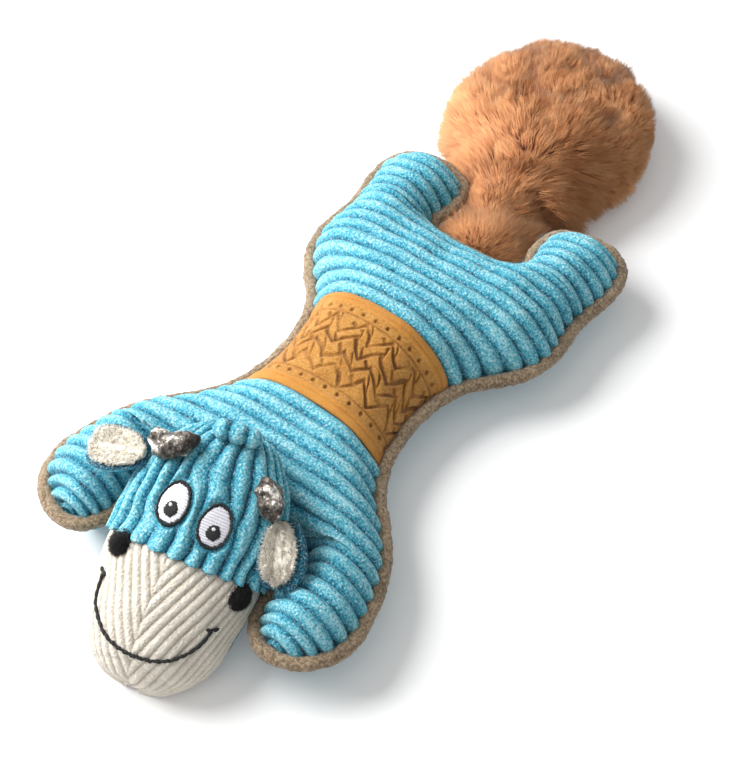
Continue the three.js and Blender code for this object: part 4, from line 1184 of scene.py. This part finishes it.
# Ears: a cupped leaf of two cloths in its own frame, with the length along y and the lining on +z
ears = {
    "length": 0.028, "halfWidth": 0.0095, "thickness": 0.0016, "cup": 0.003, "gap": 0.0003, "blend": 0.009,
    "pile": 3200, "strand": 0.0017, "rows": 80, "columns": 60, "stride": 10, "rimRound": 0.0007,
    "backPitch": 0.0046, "liningPitch": 0.0034,
    "shares": [(0, 0.5), (0.2, 0.78), (0.45, 0.98), (0.65, 1), (0.82, 0.84), (0.93, 0.55), (1, 0)],
    "places": {
        "left": {
            "angle": 20, "along": 0.27, "lift": 1, "rim": 0.0031, "slide": 0.0018,
            "reach": (0.45, -0.8, -0.39), "face": (0.25, -0.3, 0.92),
        },
        "right": {
            "angle": 162, "along": 0.235, "lift": 0, "rim": 0.0021, "slide": 0.0005,
            "reach": (-0.94, -0.25, -0.22), "face": (-0.3, -0.4, 0.87),
        },
    },
}


def earGrid(inset, height, base):
    share = np.sin(np.linspace(0, math.pi / 2, ears["rows"] + 1))
    half = np.maximum(throughTable(ears["shares"], share)[..., 0], 0) * (ears["halfWidth"] - inset)
    half = half * np.sqrt(np.clip(share / 0.12 + 0.12, 0, 1)) ** (1 if base else 0)
    across = np.linspace(-1, 1, ears["columns"] + 1)[None, :]
    x = half[:, None] * across
    y = (base + share * (ears["length"] - inset - base))[:, None] + 0 * x
    return np.stack([x, y, height + ears["cup"] * across ** 2 * (half / ears["halfWidth"])[:, None]], -1)


def earFrame(half):
    place = ears["places"][half]
    reach = Vector(place["reach"]).normalized()
    across = reach.cross(Vector(place["face"])).normalized()
    face = across.cross(reach)
    stack = ears["thickness"] + ears["cup"] / 2
    origin = headPoint(place["along"], place["angle"], -0.0003 - place["lift"] * stack)
    return np.array([across, reach, face]), origin


def earSheet(half, face):
    place = ears["places"][half]
    if face == "back":
        show, hide = (earGrid(0, up, 0) for up in (0, ears["thickness"]))
        crown = waleCrown(show[..., 0] / ears["backPitch"] + 0.5)
        return show, hide, crown, 0.0009 * (crown - 0.5) + 0.0003 * lumps(show, 0.009, 112)
    lift = ears["thickness"] + ears["gap"]
    show, hide = (earGrid(place["rim"], lift + up, 0.0012) for up in (ears["thickness"], 0))
    crown = waleCrown(show[..., 0] / ears["liningPitch"] + 0.5)
    height = 0.0006 * (crown - 0.5) + 0.0004 * lumps(show, 0.0035, 113) + 0.0005 * lumps(show, 0.011, 114)
    slid = np.array([place["slide"], 0, 0])
    return show + slid, hide + slid, crown, height


def addEar(half):
    basis, origin = earFrame(half)
    stride = ears["stride"]
    start = at(*origin)

    def carry(piece):
        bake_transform(piece)

    rim = np.abs(np.linspace(-1, 1, ears["columns"] + 1))[None, :] ** 6
    for face, side, finish in (("back", -1, "blue"), ("lining", 1, "sherpa")):
        show, hide, crown, height = earSheet(half, face)
        show = show + np.array([0, 0, side]) * (height - ears["rimRound"] * rim)[..., None]
        outer, inner = (part @ basis + origin for part in (show, hide[::stride, ::stride]))
        piece = addSkin(f"ear{face.title()}{half.title()}", outer, inner, finishes[finish], {"wale": crown})
        carry(piece)
        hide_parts(f"ear_{face}_{half}")
    addEarPile(half, show, basis, origin, carry)


def addEarPile(half, show, basis, origin, carry):
    rng = np.random.default_rng(115)
    count = ears["pile"]
    row = np.minimum((rng.uniform(0, 1, count) ** 1.4 * show.shape[0]).astype(int), show.shape[0] - 1)
    edge = rng.uniform(-1, 1, count)
    share = np.sign(edge) * np.abs(edge) ** 0.6
    column = np.round((share + 1) / 2 * (show.shape[1] - 1)).astype(int)
    roots = show[row, column] - np.array([0, 0, 0.0002]) + rng.normal(0, 0.00015, (count, 3))
    ways = np.stack([share * 0.8, 0.5 + 0 * share, 1 - 0.4 * np.abs(share)], 1)
    ways = unit(ways + rng.normal(0, 0.35, (count, 3)))
    ways *= (ears["strand"] * rng.uniform(0.6, 1.1, count))[:, None]
    bends = rng.normal(0, 0.3 * ears["strand"], (count, 3))
    tone = rng.uniform(0, 1, count)
    roots, ways = roots @ basis + origin, ways @ basis
    addStrands(f"earPile{half.title()}", roots, ways, bends, 0.00013, finishes["pale"], tone, carry)


for half in halves:
    addEye(half)
    addNostril(half)
    addHorn(half)
    addEar(half)
addMouth()
addTopknot()
print("face, horns and ears made")


# Neck knot: a gathered ball with a flat foot
def addNeck():
    low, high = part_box("neck_knot")
    radius, height = (high.x - low.x) / 2, neck["height"]
    foot = math.asin((low.z - height) / radius)
    rise = np.concatenate([[foot] * 3, np.linspace(foot, math.pi / 2, neck["rings"])])
    turn = circle(neck["sides"])
    reach = radius * np.cos(rise)
    reach[:3] *= neck["footShares"]
    gather = np.abs(np.sin(turn * neck["folds"])) ** neck["foldSharpness"]
    width = reach[:, None] * (1 - neck["foldDepth"] * (1 - gather)[None, :] * (reach / radius)[:, None])
    z = (height + radius * np.sin(rise))[:, None] + 0 * width
    rings = np.stack([neck["aside"] + width * np.cos(turn), neck["forward"] + width * np.sin(turn), z], -1)
    # The gather goes in as the wale reading, so the valleys of the folds are darker: painted shade.
    piece = addShell("neckCloth", rings, finishes["blue"], {"wale": np.tile(gather, len(rise))})
    standIn(piece, "neck", "blue_corduroy", "neck_knot", fill=0.8)


addNeck()
print("neck made")

# Tail: a stuffed pelt with strands of fur on it. Shares: length, half width, rise, drop
tail = {
    "y": 0.0456, "lean": 10.5, "start": 0.0163, "length": 0.147, "halfWidth": 0.052, "seamHeight": 0.015,
    "rise": 0.029, "root": 0.11, "pelt": 0.0064, "peltRings": 141, "peltSides": 240, "peltBump": 0.0007,
    "strands": 80000, "strandLength": 0.0115, "radius": 0.00018, "clumps": 4400, "pull": (0.2, 0.8),
    "stand": 0.8, "lie": 0.5, "sway": 0.4, "scatter": 0.17, "pawEnd": 0.084, "pawGap": 0.0215,
    "tabStrands": 12000, "tabClumps": 900, "tabBlend": (0.055, 0.1), "tabReach": 0.0145,
    "tabAside": 0.011, "tabBack": (0.05, 0.072), "tabHeight": 0.0155, "tabFront": 0.0435,
    "cells": (90, 140), "cellEnds": (0.004, 0.996), "crowd": 2.2, "crowdUntil": (0.12, 0.34), "under": 0.35,
    "rootLift": 0.0006, "bareUntil": (0.12, 0.3), "flankFrom": (0.2, 0.3), "flankTo": (0.4, 0.54),
    # In the next line, the pair after endFrom is where strands near the fur's outline are painted lighter:
    # painted rim light.
    "endFrom": (0.7, 1), "rimLightFrom": (0.72, 1), "fan": 0.45, "fanUntil": (0.3, 0.6), "fanWidth": 0.018,
    "edge": [
        (0.01, 0.02), (0.03, 0.044), (0.048, 0.0445), (0.063, 0.047), (0.08, 0.0495),
        (0.1, 0.0485), (0.12, 0.043), (0.135, 0.034), (0.148, 0.022), (0.158, 0.01),
    ],
    "shares": [
        (0.11, 0, 0, 0), (0.12, 0.12, 0.15, 0.25), (0.15, 0.23, 0.3, 0.5), (0.2, 0.27, 0.45, 0.8),
        (0.26, 0.31, 0.6, 1), (0.3, 0.36, 0.7, 1), (0.34, 0.49, 0.79, 1), (0.37, 0.61, 0.84, 1),
        (0.42, 0.775, 0.9, 1), (0.5, 0.94, 0.96, 1), (0.6, 1, 1, 1), (0.73, 0.965, 0.98, 1),
        (0.83, 0.84, 0.9, 1), (0.92, 0.6, 0.7, 0.9), (0.975, 0.33, 0.42, 0.6), (1, 0, 0, 0),
    ],
}
tailTurn = np.array(Matrix.Rotation(math.radians(tail["lean"]), 3, "Z"))


def tailPoint(share, turn, inset):
    share, turn = np.broadcast_arrays(np.asarray(share, float), np.asarray(turn, float))
    column = (1 - np.cos(math.pi * share)) / 2
    place = tail["root"] + (1 - tail["root"]) * column
    along = tail["start"] + inset + (tail["length"] - tail["start"] - 2 * inset) * column
    width, up, down = np.moveaxis(np.maximum(throughTable(tail["shares"], place), 0), -1, 0)
    drop = tail["seamHeight"] + 0.0005
    reach = np.where(np.sin(turn) > 0, up * (tail["rise"] - inset), down * (drop - inset))
    x = width * (1 - inset / tail["halfWidth"]) * tail["halfWidth"] * np.cos(turn)
    z = np.maximum(tail["seamHeight"] + reach * np.sin(turn), max(inset, 0))
    points = np.stack([x, along, z], -1) @ tailTurn.T
    return points + np.array([0, tail["y"], 0])


def addPelt():
    share = np.linspace(0, 1, tail["peltRings"])[:, None]
    turn = circle(tail["peltSides"])[None, :]
    shell = tailPoint(share, turn, tail["pelt"])
    out = shell - shell.mean(axis=1, keepdims=True)
    width = np.minimum(1, np.linalg.norm(out, axis=-1) / 0.01)
    shell = shell + unit(out) * (tail["peltBump"] * lumps(shell, 0.006, 121) * width)[..., None]
    # Reach 0 gives the pelt the darkest colour of the fur's roots: painted shade under the strands.
    readings = {"reach": np.zeros(shell.shape[:2]), "tone": 0.5 + 0 * width}
    piece = addShell("tailPelt", shell, finishes["fur"], readings)
    standIn(piece, "tail", "caramel_fur", "tail_fur_upper", "tail_fur_lower", fill=0.6)


# Half width of the whole fur at a length along the tail
def furEdge(along):
    return throughTable(tail["edge"], along)[..., 0]


# Strands near each other draw together at their tips
def clumpBends(roots, tips, count, rng):
    centres = rng.choice(len(roots), count, replace=False)
    nearest = np.zeros(len(roots), int)
    for start in range(0, len(roots), 4000):
        gap = ((roots[start:start + 4000, None] - roots[centres][None]) ** 2).sum(-1)
        nearest[start:start + 4000] = centres[np.argmin(gap, axis=1)]
    return (tips[nearest] - tips) * rng.uniform(*tail["pull"], (len(roots), 1)), nearest


# Steps that bring tips back inside the fur's outline and out of the hind paws
def furInside(tips):
    place = (tips - (0, tail["y"], 0)) @ tailTurn
    over = np.maximum(0, np.abs(place[:, 0]) - furEdge(place[:, 1]))
    moved = np.stack([-np.sign(place[:, 0]) * over * 0.8, 0 * over, 0 * over], 1) @ tailTurn.T
    behind = np.maximum(0, tail["pawEnd"] - tips[:, 1] - moved[:, 1])
    beside = np.maximum(0, np.abs(tips[:, 0] + moved[:, 0]) - tail["pawGap"]) * (behind > 0)
    aside = beside < behind
    moved[:, 0] -= np.where(aside, np.sign(tips[:, 0]) * beside * 0.9, 0)
    moved[:, 1] += np.where(aside, 0, behind * (beside > 0))
    moved[:, 2] += np.where(aside, beside * 0.4, 0)
    return moved


def addFur():
    rng = np.random.default_rng(131)
    rows, columns = tail["cells"]
    shares, turns = np.linspace(*tail["cellEnds"], rows + 1), np.linspace(0, 2 * math.pi, columns + 1)
    grid = tailPoint(shares[:, None], turns[None, :], tail["pelt"])
    area = np.linalg.norm(np.cross(grid[1:, :-1] - grid[:-1, :-1], grid[:-1, 1:] - grid[:-1, :-1]), axis=-1)
    facing = np.where(grid[:-1, :-1, 2] < tail["pelt"] + 0.0005, tail["under"], 1)
    crowd = 1 + tail["crowd"] * (1 - smoothStep(*tail["crowdUntil"], shares[:-1]))[:, None]
    weight = (area * facing * crowd).ravel()
    cell = rng.choice(len(weight), tail["strands"], p=weight / weight.sum())
    row, column = cell // columns, cell % columns
    share = shares[row] + rng.uniform(0, 1, len(cell)) * (shares[1] - shares[0])
    turn = turns[column] + rng.uniform(0, 1, len(cell)) * (turns[1] - turns[0])
    roots = tailPoint(share, turn, tail["pelt"] + tail["rootLift"])
    step = 0.002
    along = tailPoint(share + step, turn, tail["pelt"]) - tailPoint(share - step, turn, tail["pelt"])
    around = tailPoint(share, turn + step, tail["pelt"]) - tailPoint(share, turn - step, tail["pelt"])
    along, normal = unit(along), unit(np.cross(around, along))
    middle = tailPoint(0.55, math.pi / 2, 0.02)
    normal *= np.sign(np.sum(normal * (roots - middle * (0.4, 1, 1)), axis=1, keepdims=True))
    bare = 1 - smoothStep(*tail["bareUntil"], share)[:, None]
    flank = smoothStep(*tail["flankFrom"], share) - smoothStep(*tail["flankTo"], share)
    flank = (flank * np.abs(normal[:, 0]))[:, None]
    ending = smoothStep(*tail["endFrom"], share)[:, None]
    place = (roots - (0, tail["y"], 0)) @ tailTurn
    side = np.clip(place[:, 0] / tail["fanWidth"], -1, 1)
    lengths = tail["strandLength"] * (0.88 + 0.13 * lumps(roots, 0.02, 132)[:, None])
    lengths = lengths * rng.uniform(0.7, 1.1, (len(roots), 1)) * (1 + 0.2 * bare + 0.2 * ending)
    room = np.maximum(0.006, furEdge(place[:, 1]) - np.abs(place[:, 0]))[:, None]
    room = room * rng.uniform(0.75, 1.1, (len(roots), 1))
    lengths = lengths * (1 - flank) + np.maximum(lengths, room) * flank
    sway = np.stack([lumps(roots, 0.016, seed) for seed in (133, 134, 135)], 1)
    ways = normal * (tail["stand"] - 0.6 * bare) + along * (tail["lie"] - 0.1 * bare - 0.3 * flank)
    ways += sway * tail["sway"] + rng.normal(0, tail["scatter"], normal.shape) + bare * (0, 0.25, 0.45)
    ways[:, 0] += (1.2 * flank[:, 0] + tail["fan"] * (1 - smoothStep(*tail["fanUntil"], share))) * side
    ways = unit(ways) * lengths
    tips = roots + ways
    bends, centres = clumpBends(roots, tips, tail["clumps"], rng)
    bends += furInside(tips + bends)
    tips = tips + bends
    reach = (tips - (0, tail["y"], 0)) @ tailTurn
    # Strands near the fur's outline get a lighter tone: painted rim light.
    rimLight = smoothStep(*tail["rimLightFrom"], np.abs(reach[:, 0]) / furEdge(reach[:, 1]))
    tone = 0.42 + 0.3 * rng.uniform(-1, 1, len(roots)) + 0.45 * rimLight
    tone += 0.4 * lumps(tips[centres], 0.0085, 136)
    order = rng.permutation(len(roots))
    roots, ways, bends, tone = (part[order] for part in (roots, ways, bends, tone))

    def carry(piece):
        standIn(piece, "tail", "caramel_fur")

    addStrands("tailFur", roots, ways, bends, tail["radius"], finishes["fur"], tone, carry)


# Fur on the tab, which fills the space between the hind paws
def addTabFur():
    rng = np.random.default_rng(137)
    count, wide = tail["tabStrands"], tail["tabAside"]
    aside, back = rng.uniform(-wide, wide, count), rng.uniform(*tail["tabBack"], count)
    roots = np.stack([aside, back, np.full(count, tail["tabHeight"])], 1)
    fan = aside / wide + 0.5 * lumps(roots, 0.012, 145) + rng.normal(0, 0.2, count)
    onward = 0.85 - 1.4 * (1 - smoothStep(0.048, 0.06, back)) + rng.normal(0, 0.2, count)
    ways = np.stack([fan * 1.15, onward, 0.85 + 0.3 * lumps(roots, 0.01, 138)], 1)
    ways = unit(ways) * (tail["tabReach"] * rng.uniform(0.75, 1.15, count))[:, None]
    tips = roots + ways
    bends, centres = clumpBends(roots, tips, tail["tabClumps"], rng)
    tips = tips + bends
    bends[:, 0] -= np.sign(tips[:, 0]) * np.maximum(0, np.abs(tips[:, 0]) - tail["pawGap"])
    bends[:, 1] += np.maximum(0, tail["tabFront"] - tips[:, 1])
    tone = 0.4 + 0.33 * rng.uniform(-1, 1, count) + 0.3 * lumps(tips[centres], 0.008, 139)

    def carry(piece):
        start, end = (at(0, y, tail["seamHeight"]) for y in tail["tabBlend"])
        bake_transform(piece)

    addStrands("tabFur", roots, ways, bends, tail["radius"], finishes["fur"], tone, carry)


def addTab():
    low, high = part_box("tail_tab")
    half, reach, thick = 0.006, 0.010, (high.z - low.z) / 2
    arc = np.linspace(0, math.pi, 24)
    rim = np.vstack([
        np.stack([np.cos(arc + math.pi), np.sin(arc + math.pi)], 1) * half,
        np.stack([np.cos(arc), np.sin(arc)], 1) * half + (0, reach),
    ])
    centre = np.array([0, reach / 2])
    loop = [(0, 1), (0.5, 1), (0.9, 1), (1, 0.6), (1, -0.6), (0.9, -1), (0.5, -1), (0, -1)]
    rings = np.array([
        [[*((spot - centre) * share + centre), height * thick] for spot in rim] for share, height in loop])
    rings = rings @ tailTurn.T + np.array([0, tail["y"], (low.z + high.z) / 2])
    piece = addShell("tailTab", rings, finishes["tape"])
    standIn(piece, "tail_root", "caramel_fur", "tail_tab")


addPelt()
addFur()
addTabFur()
addTab()
print("tail made")


# Stuffing: the CAD solids, merged, made finer and pressed into tufts
def addFilling(node, carrier):
    source = bpy.data.objects[node]
    mesh = source.data.copy()
    mesh.transform(source.matrix_world)
    name = node.replace("_stuffing", "").title().replace("_", "") + "Filling"
    piece = bpy.data.objects.new(name, mesh)
    bpy.context.collection.objects.link(piece)
    mesh.materials.clear()
    mesh.materials.append(finishes["fibre"])
    piece.hide_render = False
    closeUp(piece)
    bpy.context.view_layer.objects.active = piece
    finer = piece.modifiers.new("finer", "SUBSURF")
    finer.subdivision_type = "SIMPLE"
    finer.levels = finer.render_levels = 2
    piece.select_set(True)
    bpy.ops.object.modifier_apply(modifier=finer.name)
    piece.select_set(False)
    count = len(piece.data.vertices)
    points, normals = np.zeros(count * 3), np.zeros(count * 3)
    piece.data.vertices.foreach_get("co", points)
    piece.data.vertices.foreach_get("normal", normals)
    points, normals = points.reshape(-1, 3), normals.reshape(-1, 3)
    press = 0.0005 + 0.0005 * lumps(points, 0.009, 141)
    points -= normals * np.clip(press, 0, 0.001)[:, None]
    piece.data.vertices.foreach_set("co", points.ravel())
    piece.data.update()
    standIn(piece, carrier, "polyester_fibre", node, fill=0.6)


addFilling("body_stuffing", "torso")
addFilling("head_stuffing", "head")
addFilling("tail_stuffing", "tail")
for half in halves:
    for kind in paws:
        addFilling(f"{kind}_paw_{half}_stuffing", f"{kind}_paw_{half}")
for node, finish in (("squeaker_bulb", "vinyl"), ("squeaker_reed", "plastic")):
    materials = bpy.data.objects[node].data.materials
    materials.clear()
    materials.append(finishes[finish])
print("fillings made")


# Plain floor with the shadow, which shows white to the camera
def addFloor():
    bpy.ops.mesh.primitive_plane_add(size=12)
    floor = bpy.context.object
    floor.name = "floor"
    finish = Finish("paleFloor", {"Base Color": paint("f6f6f6"), "Roughness": 0.9})
    seen = finish.node("LightPath", None, None, "Is Camera Ray")
    away = finish.node("VectorMath", {"operation": "LENGTH"}, {0: finish.places}, "Value")
    glow = finish.spread(away, *light["fade"]) * (1 - light["floorGlow"]) + light["floorGlow"]
    finish.join(seen * glow, finish.shader.inputs["Emission Strength"])
    finish.shader.inputs["Emission Color"].default_value = (1, 1, 1, 1)
    floor.data.materials.append(finish.material)


def lightWorld():
    world = bpy.data.worlds.new("studio")
    bpy.context.scene.world = world
    world.use_nodes = True
    sky = world.node_tree.nodes["Background"]
    path = world.node_tree.nodes.new("ShaderNodeLightPath")
    strength = Wire(world.node_tree, path.outputs["Is Camera Ray"]) * (1 - light["sky"]) + light["sky"]
    world.node_tree.links.new(strength.socket, sky.inputs["Strength"])
    sky.inputs["Color"].default_value = (1, 1, 1, 1)


addFloor()
lightWorld()
bpy.context.scene.view_settings.view_transform = "Standard"
